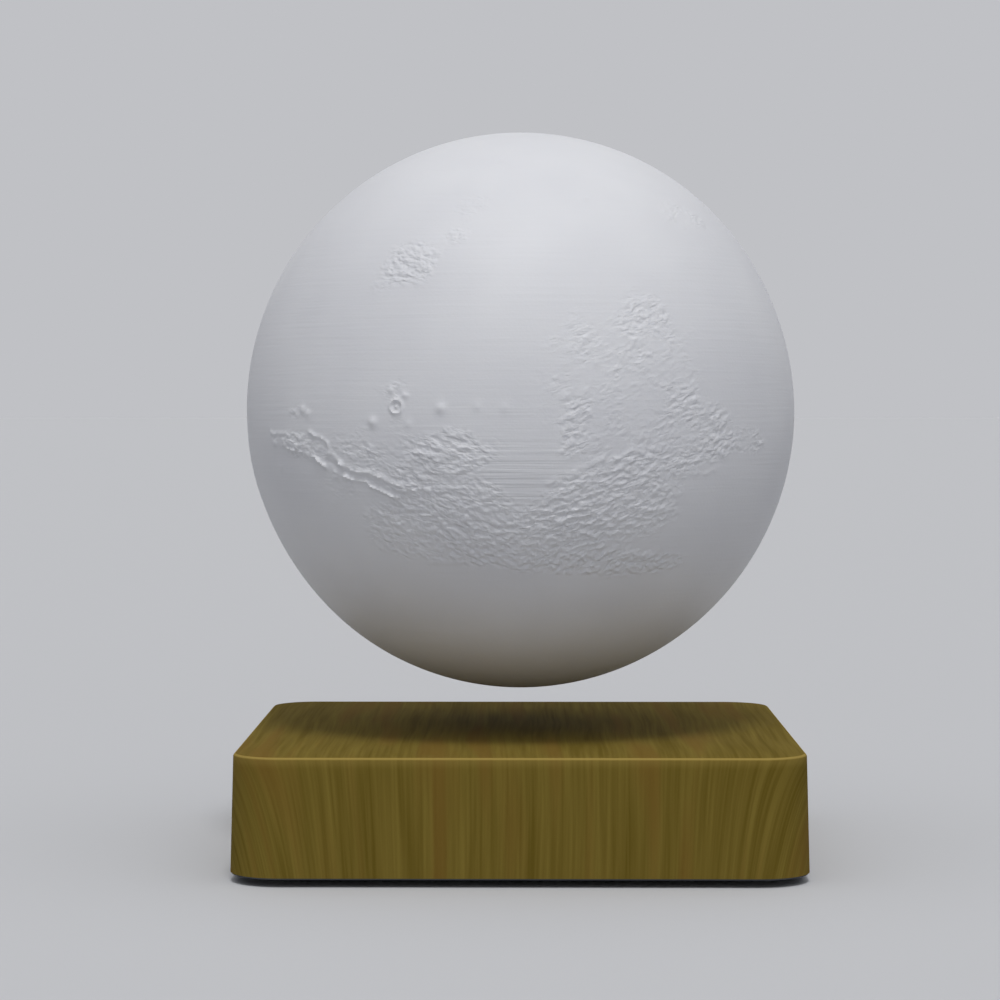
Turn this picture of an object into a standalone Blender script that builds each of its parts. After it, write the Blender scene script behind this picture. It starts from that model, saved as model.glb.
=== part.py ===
"""Levitating lamp: a printed globe that floats above a wood-finished magnetic base.

Everything is in metres, +Z up. The origin is on the table, under the middle of the base.
The base holds a ring of magnets, four steering coils with their sensors and a flat power coil.
The globe holds a disc magnet, the coil that picks the power up and a ring of LEDs.
"""

import math

import bmesh
import bpy
from mathutils import Matrix, Vector

# Driving dimensions of the whole lamp
BASE_WIDTH = 0.1482
BASE_CORNER_RADIUS = 0.0135
HOUSING_HEIGHT = 0.0308
HOUSING_DRAFT_DEG = 1.5
TABLE_GAP = 0.0020
LEVITATION_GAP = 0.0112
GLOBE_DIAMETER = 0.1500
GLOBE_HEIGHT = 0.1521

# Clearances between neighbours, and how far a cutter runs past what it cuts
FIT_GAP = 0.0003
OVERRUN = 0.0010

# Sides of the polygons that stand for circles, and the angle from which an edge is drawn sharp
SMALL_SIDES = 8
MEDIUM_SIDES = 12
LARGE_SIDES = 28
SHARP_ANGLE_DEG = 35.0

# Base housing
HOUSING_WALL = 0.0025
HOUSING_CEILING = 0.0025
TOP_EDGE_RADIUS = 0.0009
RIM_CHAMFER = 0.0004
BOSS_RADIUS = 0.0040
SCREW_INSET = 0.0125
GUSSET_THICKNESS = 0.0014
GUSSET_DROP = 0.0100
LOCATING_RIB = 0.0012
LEAD_SLOT_WIDTH = 0.0110

# Bottom plate and its feet
PLATE_RECESS = 0.0004
PLATE_THICKNESS = 0.0025
PLATE_EDGE_CHAMFER = 0.0005
PILLAR_HEIGHT = 0.0030
PILLAR_RADIUS = 0.0036
FOOT_RADIUS = 0.0060
FOOT_CHAMFER = 0.0007
FOOT_POCKET_DEPTH = 0.0010
FOOT_INSET = 0.0235
VENT_LENGTH = 0.0220
VENT_WIDTH = 0.0022
VENT_PITCH = 0.0062
VENT_COUNT = 4

# Screws that hold the plate and the magnet stack
SCREW_SHANK_RADIUS = 0.0014
SCREW_HEAD_RADIUS = 0.0027
SCREW_HEAD_HEIGHT = 0.0013
SCREW_HEAD_POCKET = 0.0015
PLATE_SCREW_GRIP = 0.0080
STACK_SCREW_GRIP = 0.0028

# Control board and what is soldered to it
BOARD_MARGIN = 0.0115
BOARD_THICKNESS = 0.0016
BOARD_NOTCH_GAP = 0.0020
BOARD_PART_GAP = 0.0015
SOLDER_GAP = 0.0003
COMPONENT_BEVEL = 0.0004
CHIP_SIZE = (0.0090, 0.0090, 0.0014)
DRIVER_SIZE = (0.0066, 0.0060, 0.0023)
INDUCTOR_SIZE = (0.0100, 0.0100, 0.0050)
CAPACITOR_RADIUS = 0.0040
CAPACITOR_HEIGHT = 0.0115
CAPACITOR_GROOVE = 0.0004
CONNECTOR_SIZE = (0.0074, 0.0048, 0.0058)
CONNECTOR_WALL = 0.0008
CONNECTOR_DEPTH = 0.0035
CHIP_ANGLE_DEG = -29.0
INDUCTOR_ANGLE_DEG = -61.0
DRIVER_ANGLES_DEG = (151.0, 166.0, 194.0, 209.0)
CAPACITOR_ANGLES_DEG = (59.0, 31.0)
SUPPLY_CONNECTOR_ANGLE_DEG = 117.0
POWER_CONNECTOR_ANGLE_DEG = 240.0
TOUCH_CONNECTOR_ANGLE_DEG = 257.0
CONNECTOR_ANGLES_DEG = (SUPPLY_CONNECTOR_ANGLE_DEG, POWER_CONNECTOR_ANGLE_DEG, TOUCH_CONNECTOR_ANGLE_DEG)

# Magnet stack, which fills the base up to a margin for the board's rim
STACK_MARGIN = 0.0248
BACKPLATE_THICKNESS = 0.0015
BACKPLATE_INSET = 0.0018
TRAY_FLOOR = 0.0012
TRAY_RIM = 0.0015
COLLAR_WALL = 0.0012
COLLAR_HEIGHT = 0.0050
LUG_RADIUS = 0.0048
LUG_REACH = 0.0036
MAGNET_COUNT = 8
MAGNET_SHARE = 0.152
MAGNET_CHAMFER = 0.0005
MAGNET_WEB = 0.0010
COIL_COUNT = 4
COIL_SPACING = 0.0015
BOBBIN_POST_SHARE = 0.34
BOBBIN_POST_HEIGHT = 0.0080
BOBBIN_FLANGE = 0.0010
BOBBIN_TUBE_WALL = 0.0010
WINDING_INSET = 0.0008
WINDING_WIRE_LAYERS = 2
WINDING_GROOVE = 0.0003
HALL_POST_RADIUS = 0.0028
HALL_BOARD_WIDTH = 0.0072
HALL_BOARD_THICKNESS = 0.0010
HALL_SENSOR_SIZE = (0.0030, 0.0012, 0.0028)
HALL_SENSOR_PITCH = 0.0020

# Flat power coil under the ceiling
FORMER_THICKNESS = 0.0024
FORMER_LIP = 0.0020
LEAD_GROOVE_DEPTH = 0.0019
POWER_COIL_WIRE_RADIUS = 0.0007
POWER_COIL_PITCH = 0.0020
POWER_COIL_TURNS = 5
POWER_COIL_STEPS = 24
POWER_COIL_HEADROOM = 0.0006
LEAD_RADIUS = 0.0005

# Power socket in the back wall
SOCKET_HEIGHT = 0.0165
SOCKET_SIDES = 24
SOCKET_FLANGE_RADIUS = 0.0068
SOCKET_FLANGE_THICKNESS = 0.0018
SOCKET_POCKET_DEPTH = 0.0013
SOCKET_BODY_RADIUS = 0.0042
SOCKET_BODY_LENGTH = 0.0125
SOCKET_BORE_RADIUS = 0.0031
SOCKET_BORE_DEPTH = 0.0100
SOCKET_PIN_RADIUS = 0.00105
SOCKET_PIN_RECESS = 0.0012
SOCKET_PIN_TAIL = 0.0030
SOCKET_PAD_THICKNESS = 0.0010
SOCKET_PAD_RADIUS = 0.0082
SOCKET_NUT_ACROSS_FLATS = 0.0110
SOCKET_NUT_THICKNESS = 0.0022

# Touch sensor foil behind the front wall
TOUCH_PAD_WIDTH = 0.0140
TOUCH_PAD_HEIGHT = 0.0120
TOUCH_PAD_THICKNESS = 0.0005

# Printed globe
GLOBE_WALL = 0.0016
GLOBE_SEGMENTS = 44
GLOBE_BANDS = 20
GLOBE_INNER_BANDS = 12
RELIEF_HEIGHT = 0.0005

# Cap that closes the globe, and the float module on it
CAP_RADIUS = 0.0360
CAP_STEPS = 5
CAP_SHELL = 0.0020
CAP_RIM_WALL = 0.0020
CAP_RIM_RISE = 0.0036
CAP_SHELF_WIDTH = 0.0060
FLOAT_MAGNET_HEIGHT = 0.0080
FLOAT_MAGNET_CHAMFER = 0.0008
CUP_WALL = 0.0014
CUP_FLOOR = 0.0010
CARRIER_FLANGE = 0.0012
CARRIER_POST_RADIUS = 0.0018
CARRIER_POST_INSET = 0.0019
RECEIVER_COIL_WIDTH = 0.0026
RECEIVER_COIL_POST_GAP = 0.0004
RECEIVER_COIL_HEIGHT = 0.0040
RECEIVER_COIL_LAYERS = 2
RECEIVER_COIL_GROOVE = 0.0002
LED_BOARD_INSET = 0.0020
LED_BOARD_THICKNESS = 0.0016
LED_SIZE = (0.0035, 0.0028, 0.0010)
LED_OUTER_COUNT = 12
LED_INNER_COUNT = 6
LED_OUTER_RING_SHARE = 0.62
LED_INNER_RING_SHARE = 0.40
CARRIER_SCREW_COUNT = 3
CARRIER_SCREW_SHANK_RADIUS = 0.0008
CARRIER_SCREW_HEAD_RADIUS = 0.0017
CARRIER_SCREW_HEAD_HEIGHT = 0.0010
CARRIER_SCREW_GRIP = 0.0035
LEAD_HOLE_RADIUS = 0.0012
RECTIFIER_SIZE = (0.0050, 0.0042, 0.0018)
LED_CHIP_SIZE = (0.0048, 0.0040, 0.0015)
LAMP_CAPACITOR_RADIUS = 0.0030
LAMP_CAPACITOR_HEIGHT = 0.0070
LED_PARTS_RING = 0.0062
LEAD_STUB_RISE = 0.0012

# Heights, from the table up
RIM_Z = TABLE_GAP
PLATE_Z = RIM_Z + PLATE_RECESS
PLATE_TOP_Z = PLATE_Z + PLATE_THICKNESS
BOARD_Z = PLATE_TOP_Z + PILLAR_HEIGHT + FIT_GAP
BOARD_TOP_Z = BOARD_Z + BOARD_THICKNESS
BACKPLATE_Z = BOARD_TOP_Z + FIT_GAP
TRAY_Z = BACKPLATE_Z + BACKPLATE_THICKNESS + FIT_GAP
TRAY_TOP_Z = TRAY_Z + TRAY_FLOOR
MAGNET_Z = TRAY_TOP_Z + FIT_GAP
HOUSING_TOP_Z = RIM_Z + HOUSING_HEIGHT
CEILING_Z = HOUSING_TOP_Z - HOUSING_CEILING
POWER_COIL_Z = CEILING_Z - POWER_COIL_HEADROOM - POWER_COIL_WIRE_RADIUS
FORMER_TOP_Z = POWER_COIL_Z - POWER_COIL_WIRE_RADIUS - FIT_GAP
FORMER_Z = FORMER_TOP_Z - FORMER_THICKNESS
MAGNET_TOP_Z = FORMER_Z - FIT_GAP
GLOBE_BOTTOM_Z = HOUSING_TOP_Z + LEVITATION_GAP
GLOBE_CENTRE_Z = GLOBE_BOTTOM_Z + GLOBE_HEIGHT / 2

# Places in plan that several pieces share
SCREW_PLACE = BASE_WIDTH / 2 - SCREW_INSET
FOOT_PLACE = BASE_WIDTH / 2 - FOOT_INSET
PILOT_RADIUS = SCREW_SHANK_RADIUS + FIT_GAP
TRAY_RADIUS = BASE_WIDTH / 2 - STACK_MARGIN
MAGNET_RADIUS = MAGNET_SHARE * TRAY_RADIUS
MAGNET_SEAT_RADIUS = MAGNET_RADIUS + FIT_GAP
COLLAR_RADIUS = MAGNET_SEAT_RADIUS + COLLAR_WALL
MAGNET_RING_RADIUS = TRAY_RADIUS - TRAY_RIM - COLLAR_RADIUS
COIL_ROOM = MAGNET_RING_RADIUS - COLLAR_RADIUS - MAGNET_WEB
COIL_STEP_SINE = math.sin(math.pi / COIL_COUNT)
BOBBIN_RADIUS = (COIL_ROOM * COIL_STEP_SINE - COIL_SPACING / 2) / (1 + COIL_STEP_SINE)
BOBBIN_POST_RADIUS = BOBBIN_POST_SHARE * BOBBIN_RADIUS
COIL_RING_RADIUS = COIL_ROOM - BOBBIN_RADIUS
LUG_RING_RADIUS = TRAY_RADIUS + LUG_REACH
BOARD_WIDTH = BASE_WIDTH - 2 * (HOUSING_WALL + BOARD_MARGIN)
POWER_COIL_OUTER_RADIUS = TRAY_RADIUS - LOCATING_RIB - 2 * FIT_GAP - POWER_COIL_WIRE_RADIUS
POWER_COIL_INNER_RADIUS = POWER_COIL_OUTER_RADIUS - POWER_COIL_TURNS * POWER_COIL_PITCH
CORNER_ANGLES_DEG = (45.0, 135.0, 225.0, 315.0)

# Places inside the globe
CARRIER_RADIUS = CAP_RADIUS - CAP_RIM_WALL - FIT_GAP
POST_RING_RADIUS = CARRIER_RADIUS - CARRIER_POST_INSET
RECEIVER_COIL_RADIUS = POST_RING_RADIUS - CARRIER_POST_RADIUS - RECEIVER_COIL_POST_GAP
CUP_RADIUS = RECEIVER_COIL_RADIUS - RECEIVER_COIL_WIDTH - FIT_GAP
CUP_INNER_RADIUS = CUP_RADIUS - CUP_WALL
FLOAT_MAGNET_RADIUS = CUP_INNER_RADIUS - FIT_GAP
LED_BOARD_RADIUS = CAP_RADIUS - LED_BOARD_INSET

MATERIALS = {}


def material(name, colour, roughness, metallic=0.0):
    """A Principled material, made once for each name."""
    if name not in MATERIALS:
        made = bpy.data.materials.new(name)
        made.use_nodes = True
        shader = made.node_tree.nodes["Principled BSDF"]
        shader.inputs["Base Color"].default_value = (*colour, 1.0)
        shader.inputs["Roughness"].default_value = roughness
        shader.inputs["Metallic"].default_value = metallic
        made.diffuse_color = (*colour, 1.0)
        MATERIALS[name] = made
    return MATERIALS[name]


def wood_print():
    return material("wood_grain_film", (0.171, 0.127, 0.036), 0.42)


def black_plastic():
    return material("black_abs", (0.012, 0.012, 0.013), 0.5)


def white_print():
    return material("white_printed_pla", (0.68, 0.69, 0.70), 0.5)


def white_plastic():
    return material("white_abs", (0.75, 0.75, 0.73), 0.45)


def steel():
    return material("zinc_plated_steel", (0.55, 0.55, 0.56), 0.35, 1.0)


def nickel():
    return material("nickel_plated_magnet", (0.62, 0.60, 0.56), 0.22, 1.0)


def copper():
    return material("enamelled_copper", (0.46, 0.14, 0.05), 0.3, 1.0)


def green_board():
    return material("green_circuit_board", (0.015, 0.10, 0.035), 0.4)


def white_board():
    return material("white_circuit_board", (0.80, 0.80, 0.78), 0.4)


def rubber():
    return material("black_rubber", (0.02, 0.02, 0.02), 0.8)


def component_black():
    return material("moulded_component", (0.02, 0.02, 0.022), 0.55)


def capacitor_sleeve():
    return material("capacitor_sleeve", (0.03, 0.04, 0.10), 0.4)


def insulation(name, colour):
    return material(name, colour, 0.4)


def clear_scene():
    """Removes what the file starts with."""
    for thing in list(bpy.data.objects):
        bpy.data.objects.remove(thing)


def shade(mesh):
    """Shades a mesh smooth between its real edges."""
    mesh.shade_smooth()
    mesh.set_sharp_from_angle(angle=math.radians(SHARP_ANGLE_DEG))


def object_from(name, bm, finish):
    """Turns a bmesh into a named object with its faces pointing out."""
    bmesh.ops.recalc_face_normals(bm, faces=bm.faces)
    mesh = bpy.data.meshes.new(name)
    bm.to_mesh(mesh)
    bm.free()
    if finish is not None:
        mesh.materials.append(finish)
    shade(mesh)
    thing = bpy.data.objects.new(name, mesh)
    bpy.context.scene.collection.objects.link(thing)
    return thing


def combine(target, tool, operation):
    """Joins the tool object to the target, or cuts it from it, and clears the tool away."""
    modifier = target.modifiers.new(tool.name, "BOOLEAN")
    modifier.operation = operation
    modifier.solver = "EXACT"
    modifier.object = tool
    graph = bpy.context.evaluated_depsgraph_get()
    target.data = bpy.data.meshes.new_from_object(target.evaluated_get(graph))
    target.data.name = target.name
    target.modifiers.clear()
    shade(target.data)
    bpy.data.objects.remove(tool)


def polar(radius, angle_deg):
    """A point in plan at a radius and an angle."""
    angle = math.radians(angle_deg)
    return (radius * math.cos(angle), radius * math.sin(angle))


def ring_places(radius, count, start_deg=0.0):
    """Places spread evenly on a ring."""
    return [polar(radius, start_deg + 360.0 * k / count) for k in range(count)]


def corner_places(distance):
    """The four places at plus and minus a distance in X and Y, anticlockwise from the first quarter."""
    return [(distance, distance), (-distance, distance), (-distance, -distance), (distance, -distance)]


def circle(radius, sides):
    """Points of a circle, anticlockwise."""
    return ring_places(radius, sides)


def rounded_square(width, radius, corner_steps=5):
    """Points of a square with round corners, anticlockwise from its right side."""
    points = []
    for corner, (x, y) in enumerate(corner_places(width / 2 - radius)):
        for k in range(corner_steps + 1):
            arc_x, arc_y = polar(radius, 90.0 * (corner + k / corner_steps))
            points.append((x + arc_x, y + arc_y))
    return points


def rectangle(width, depth):
    """Corners of a rectangle, anticlockwise."""
    x, y = width / 2, depth / 2
    return [(x, y), (-x, y), (-x, -y), (x, -y)]


def loft(bm, rings):
    """Skins a list of closed rings of equal count, and caps the first and the last."""
    loops = [[bm.verts.new(point) for point in ring] for ring in rings]
    for lower, upper in zip(loops, loops[1:]):
        count = len(lower)
        for k in range(count):
            nxt = (k + 1) % count
            bm.faces.new((lower[k], lower[nxt], upper[nxt], upper[k]))
    bm.faces.new(list(reversed(loops[0])))
    bm.faces.new(loops[-1])


def at_height(outline, z, centre=(0.0, 0.0)):
    """An outline lifted to a height and moved to a centre."""
    return [(x + centre[0], y + centre[1], z) for x, y in outline]


def add_prism(bm, outline, low, high, centre=(0.0, 0.0)):
    """An upright prism between two heights."""
    loft(bm, [at_height(outline, low, centre), at_height(outline, high, centre)])


def add_box(bm, size, centre, low):
    """An upright box that stands at a height."""
    add_prism(bm, rectangle(size[0], size[1]), low, low + size[2], centre)


def add_revolved(bm, profile, steps, matrix=Matrix.Identity(4)):
    """A closed (radius, height) profile turned about Z, then placed by a matrix."""
    made = bmesh.new()
    verts = [made.verts.new((r, 0.0, z)) for r, z in profile]
    count = len(verts)
    edges = []
    for k in range(count):
        nxt = (k + 1) % count
        on_axis = profile[k][0] == 0.0 and profile[nxt][0] == 0.0
        if not on_axis:
            edges.append(made.edges.new((verts[k], verts[nxt])))
    bmesh.ops.spin(
        made,
        geom=verts + edges,
        cent=(0.0, 0.0, 0.0),
        axis=(0.0, 0.0, 1.0),
        angle=2 * math.pi,
        steps=steps,
        use_merge=True,
    )
    bmesh.ops.remove_doubles(made, verts=made.verts, dist=FIT_GAP / 1000)
    bmesh.ops.transform(made, matrix=matrix, verts=made.verts)
    mesh = bpy.data.meshes.new("turned")
    made.to_mesh(mesh)
    made.free()
    bm.from_mesh(mesh)
    bpy.data.meshes.remove(mesh)


def revolved(name, profile, finish, steps=LARGE_SIDES, matrix=Matrix.Identity(4)):
    """An object turned from one profile."""
    bm = bmesh.new()
    add_revolved(bm, profile, steps, matrix)
    return object_from(name, bm, finish)


def shifted(x, y, z=0.0):
    return Matrix.Translation((x, y, z))


def half_width(z):
    """Half of the housing's outer width at a height, which shrinks upward with the draft."""
    return BASE_WIDTH / 2 - (z - RIM_Z) * math.tan(math.radians(HOUSING_DRAFT_DEG))


def housing_ring(z, inset):
    """The housing's outline at a height, drawn in by an inset."""
    lean = BASE_WIDTH / 2 - half_width(z)
    return at_height(rounded_square(2 * (half_width(z) - inset), BASE_CORNER_RADIUS - lean - inset), z)


def housing_skin():
    """The bare housing: an open tray upside down, with drafted walls and a small radius at its top edge."""
    edge_steps = 3
    shoulder = HOUSING_TOP_Z - TOP_EDGE_RADIUS
    rings = [
        housing_ring(CEILING_Z, HOUSING_WALL),
        housing_ring(RIM_Z, HOUSING_WALL),
        housing_ring(RIM_Z, RIM_CHAMFER),
        housing_ring(RIM_Z + RIM_CHAMFER, 0.0),
    ]
    for k in range(edge_steps + 1):
        across, up = polar(TOP_EDGE_RADIUS, 90.0 * k / edge_steps)
        rings.append(housing_ring(shoulder + up, TOP_EDGE_RADIUS - across))
    bm = bmesh.new()
    loft(bm, rings)
    return object_from("base_housing", bm, wood_print())


def housing_bosses():
    """Four screw bosses under the ceiling, each with two gussets, and the rib that holds the coil former."""
    bm = bmesh.new()
    boss_end = PLATE_TOP_Z + FIT_GAP
    for x, y in corner_places(SCREW_PLACE):
        add_prism(bm, circle(BOSS_RADIUS, MEDIUM_SIDES), boss_end, CEILING_Z + OVERRUN, (x, y))
    bosses = object_from("screw_boss_tool", bm, None)
    bm = bmesh.new()
    gusset_end = CEILING_Z - GUSSET_DROP
    span = half_width(CEILING_Z) - HOUSING_WALL / 2 - SCREW_PLACE
    for x, y in corner_places(SCREW_PLACE):
        side = math.copysign(1.0, x)
        middle = side * (SCREW_PLACE + span / 2)
        add_prism(bm, rectangle(span, GUSSET_THICKNESS), gusset_end, CEILING_Z + OVERRUN, (middle, y))
    gussets_x = object_from("side_gusset_tool", bm, None)
    bm = bmesh.new()
    for x, y in corner_places(SCREW_PLACE):
        side = math.copysign(1.0, y)
        middle = side * (SCREW_PLACE + span / 2)
        add_prism(bm, rectangle(GUSSET_THICKNESS, span), gusset_end, CEILING_Z + OVERRUN, (x, middle))
    gussets_y = object_from("end_gusset_tool", bm, None)
    rib_end = FORMER_TOP_Z + FIT_GAP
    outer, inner = TRAY_RADIUS, TRAY_RADIUS - LOCATING_RIB
    top = CEILING_Z + OVERRUN
    rib = revolved("former_rib_tool", [(inner, rib_end), (outer, rib_end), (outer, top), (inner, top)], None)
    return [bosses, gussets_x, gussets_y, rib]


def along_y(y, z=SOCKET_HEIGHT):
    """Turns a piece modelled along +Z so that it points out of the back wall, from a given depth."""
    return Matrix.Translation((0.0, y, z)) @ Matrix.Rotation(math.radians(-90.0), 4, "X")


def socket_pocket_y():
    """Depth of the flat floor of the socket's pocket in the back wall."""
    return half_width(SOCKET_HEIGHT) - SOCKET_POCKET_DEPTH


def socket_pad_y():
    """Inner face of the pad behind the socket, which the nut meets."""
    return half_width(SOCKET_HEIGHT + SOCKET_PAD_RADIUS) - HOUSING_WALL - SOCKET_PAD_THICKNESS


def socket_face_y():
    """Outer face of the socket's flange."""
    return socket_pocket_y() + FIT_GAP + SOCKET_FLANGE_THICKNESS


def base_housing():
    """The wood-finished housing, with its bosses, gussets, coil rib, screw pilots and socket hole."""
    housing = housing_skin()
    for tool in housing_bosses():
        combine(housing, tool, "UNION")
    bm = bmesh.new()
    pad_depth = socket_pocket_y() - socket_pad_y()
    add_revolved(
        bm,
        [(0.0, 0.0), (SOCKET_PAD_RADIUS, 0.0), (SOCKET_PAD_RADIUS, pad_depth), (0.0, pad_depth)],
        MEDIUM_SIDES,
        along_y(socket_pad_y()),
    )
    combine(housing, object_from("socket_pad_tool", bm, None), "UNION")
    bm = bmesh.new()
    pilot_top = PLATE_TOP_Z + PLATE_SCREW_GRIP + OVERRUN
    for x, y in corner_places(SCREW_PLACE):
        add_prism(bm, circle(PILOT_RADIUS, SMALL_SIDES), PLATE_TOP_Z, pilot_top, (x, y))
    combine(housing, object_from("pilot_cutter", bm, None), "DIFFERENCE")
    bm = bmesh.new()
    hole = SOCKET_BODY_RADIUS + FIT_GAP
    pocket = SOCKET_FLANGE_RADIUS + FIT_GAP
    start = socket_pad_y() - OVERRUN
    floor = socket_pocket_y() - start
    end = floor + SOCKET_POCKET_DEPTH + OVERRUN
    stepped = [(0.0, 0.0), (hole, 0.0), (hole, floor), (pocket, floor), (pocket, end), (0.0, end)]
    add_revolved(bm, stepped, SOCKET_SIDES, along_y(start))
    combine(housing, object_from("socket_hole_cutter", bm, None), "DIFFERENCE")
    bm = bmesh.new()
    slot = rectangle(LOCATING_RIB + 2 * OVERRUN, LEAD_SLOT_WIDTH)
    slot_centre = (-TRAY_RADIUS + LOCATING_RIB / 2, -LEAD_SLOT_WIDTH / 4)
    add_prism(bm, slot, FORMER_TOP_Z, CEILING_Z - FIT_GAP / 2, slot_centre)
    combine(housing, object_from("lead_slot_cutter", bm, None), "DIFFERENCE")


def slot_outline(length, width, steps=3):
    """A slot with round ends, along Y."""
    points = []
    straight = length / 2 - width / 2
    for end in (1, -1):
        for k in range(steps + 1):
            angle = math.pi * k / steps + (0.0 if end == 1 else math.pi)
            points.append((width / 2 * math.cos(angle), end * straight + width / 2 * math.sin(angle)))
    return points


def lug_places():
    """Where the stack's four screws stand."""
    return [polar(LUG_RING_RADIUS, angle) for angle in CORNER_ANGLES_DEG]


def lug_holes(name, low, high):
    """A cutter for the holes that the stack's screws pass through."""
    bm = bmesh.new()
    for centre in lug_places():
        add_prism(bm, circle(PILOT_RADIUS, SMALL_SIDES), low, high, centre)
    return object_from(name, bm, None)


def bottom_plate():
    """The recessed plate that closes the base: pillars for the board, pockets for feet and screws, vents."""
    width = 2 * (half_width(PLATE_TOP_Z) - HOUSING_WALL - FIT_GAP)
    radius = BASE_CORNER_RADIUS - HOUSING_WALL - FIT_GAP
    bm = bmesh.new()
    chamfered = rounded_square(width - 2 * PLATE_EDGE_CHAMFER, radius - PLATE_EDGE_CHAMFER)
    full = rounded_square(width, radius)
    edge_z = PLATE_Z + PLATE_EDGE_CHAMFER
    loft(bm, [at_height(chamfered, PLATE_Z), at_height(full, edge_z), at_height(full, PLATE_TOP_Z)])
    plate = object_from("bottom_plate", bm, black_plastic())
    bm = bmesh.new()
    pillar_top = PLATE_TOP_Z + PILLAR_HEIGHT
    for place_in_plan in lug_places():
        add_prism(bm, circle(PILLAR_RADIUS, MEDIUM_SIDES), PLATE_TOP_Z - OVERRUN, pillar_top, place_in_plan)
    combine(plate, object_from("pillar_tool", bm, None), "UNION")
    combine(plate, lug_holes("pillar_pilot_cutter", PLATE_Z + PLATE_THICKNESS / 2, BOARD_Z), "DIFFERENCE")
    bm = bmesh.new()
    head_pocket = SCREW_HEAD_RADIUS + FIT_GAP
    step = PLATE_Z + SCREW_HEAD_POCKET
    profile = [
        (0.0, PLATE_Z - OVERRUN),
        (head_pocket, PLATE_Z - OVERRUN),
        (head_pocket, step),
        (PILOT_RADIUS, step),
        (PILOT_RADIUS, PLATE_TOP_Z + OVERRUN),
        (0.0, PLATE_TOP_Z + OVERRUN),
    ]
    for x, y in corner_places(SCREW_PLACE):
        add_revolved(bm, profile, MEDIUM_SIDES, shifted(x, y))
    combine(plate, object_from("screw_hole_cutter", bm, None), "DIFFERENCE")
    bm = bmesh.new()
    pocket = circle(FOOT_RADIUS + FIT_GAP, MEDIUM_SIDES)
    for centre in corner_places(FOOT_PLACE):
        add_prism(bm, pocket, PLATE_Z - OVERRUN, PLATE_Z + FOOT_POCKET_DEPTH, centre)
    combine(plate, object_from("foot_pocket_cutter", bm, None), "DIFFERENCE")
    bm = bmesh.new()
    vent = slot_outline(VENT_LENGTH, VENT_WIDTH)
    for y in (-VENT_LENGTH, VENT_LENGTH):
        for k in range(VENT_COUNT):
            x = (k - (VENT_COUNT - 1) / 2) * VENT_PITCH
            add_prism(bm, vent, PLATE_Z - OVERRUN, PLATE_TOP_Z + OVERRUN, (x, y))
    combine(plate, object_from("vent_cutter", bm, None), "DIFFERENCE")


def rubber_feet():
    """Four rubber feet in the plate's pockets."""
    top = PLATE_Z + FOOT_POCKET_DEPTH - FIT_GAP
    profile = [
        (0.0, 0.0),
        (FOOT_RADIUS - FOOT_CHAMFER, 0.0),
        (FOOT_RADIUS, FOOT_CHAMFER),
        (FOOT_RADIUS, top),
        (0.0, top),
    ]
    for number, (x, y) in enumerate(corner_places(FOOT_PLACE), 1):
        revolved(f"rubber_foot_{number}", profile, rubber(), MEDIUM_SIDES, shifted(x, y))


def screw_profile(seat, tip, shank, head_radius, head_height):
    """A pan-head screw that points down: its head sits on a seat and its shank ends at a tip."""
    dome = head_height / 3
    return [
        (0.0, tip),
        (shank, tip + shank),
        (shank, seat),
        (head_radius, seat),
        (head_radius, seat + head_height - dome),
        (head_radius - dome, seat + head_height),
        (0.0, seat + head_height),
    ]


def plate_screws():
    """Four screws, heads down, that hold the plate to the housing's bosses."""
    seat = -(PLATE_Z + SCREW_HEAD_POCKET - FIT_GAP)
    tip = -(PLATE_TOP_Z + PLATE_SCREW_GRIP)
    profile = screw_profile(seat, tip, SCREW_SHANK_RADIUS, SCREW_HEAD_RADIUS, SCREW_HEAD_HEIGHT)
    for number, (x, y) in enumerate(corner_places(SCREW_PLACE), 1):
        head_down = shifted(x, y) @ Matrix.Rotation(math.pi, 4, "X")
        revolved(f"plate_screw_{number}", profile, steel(), SMALL_SIDES, head_down)


def control_board():
    """The circuit board, notched round the screw bosses, with holes for the stack screws."""
    bm = bmesh.new()
    add_prism(bm, rectangle(BOARD_WIDTH, BOARD_WIDTH), BOARD_Z, BOARD_TOP_Z)
    board = object_from("control_board", bm, green_board())
    bm = bmesh.new()
    notch = BOSS_RADIUS + BOARD_NOTCH_GAP
    for centre in corner_places(SCREW_PLACE):
        add_prism(bm, circle(notch, MEDIUM_SIDES), BOARD_Z - OVERRUN, BOARD_TOP_Z + OVERRUN, centre)
    combine(board, object_from("boss_notch_cutter", bm, None), "DIFFERENCE")
    combine(board, lug_holes("board_hole_cutter", BOARD_Z - OVERRUN, BOARD_TOP_Z + OVERRUN), "DIFFERENCE")
    for tool in (driver_blocks(), connector_blocks()):
        combine(board, tool, "UNION")
    combine(board, header_hollows(), "DIFFERENCE")


def board_place(angle_deg, room):
    """A place on the board just outside the magnet tray, at an angle, with room round its middle."""
    return polar(TRAY_RADIUS + BOARD_PART_GAP + room, angle_deg)


def half_diagonal(size):
    return math.hypot(size[0], size[1]) / 2


def moulded_block(name, size, centre, low):
    """A moulded component that stands at a height, with a small bevel on its edges."""
    bm = bmesh.new()
    add_box(bm, size, centre, low)
    block = object_from(name, bm, component_black())
    bevel = block.modifiers.new("moulded_edge", "BEVEL")
    bevel.width = COMPONENT_BEVEL
    bevel.segments = 1
    bevel.limit_method = "ANGLE"


def driver_blocks():
    """The four coil drivers soldered flat on the board."""
    bm = bmesh.new()
    for angle in DRIVER_ANGLES_DEG:
        x, y = board_place(angle, half_diagonal(DRIVER_SIZE))
        add_box(bm, DRIVER_SIZE, (x, y), BOARD_TOP_Z - SOLDER_GAP)
    return object_from("coil_driver_tool", bm, None)


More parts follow.
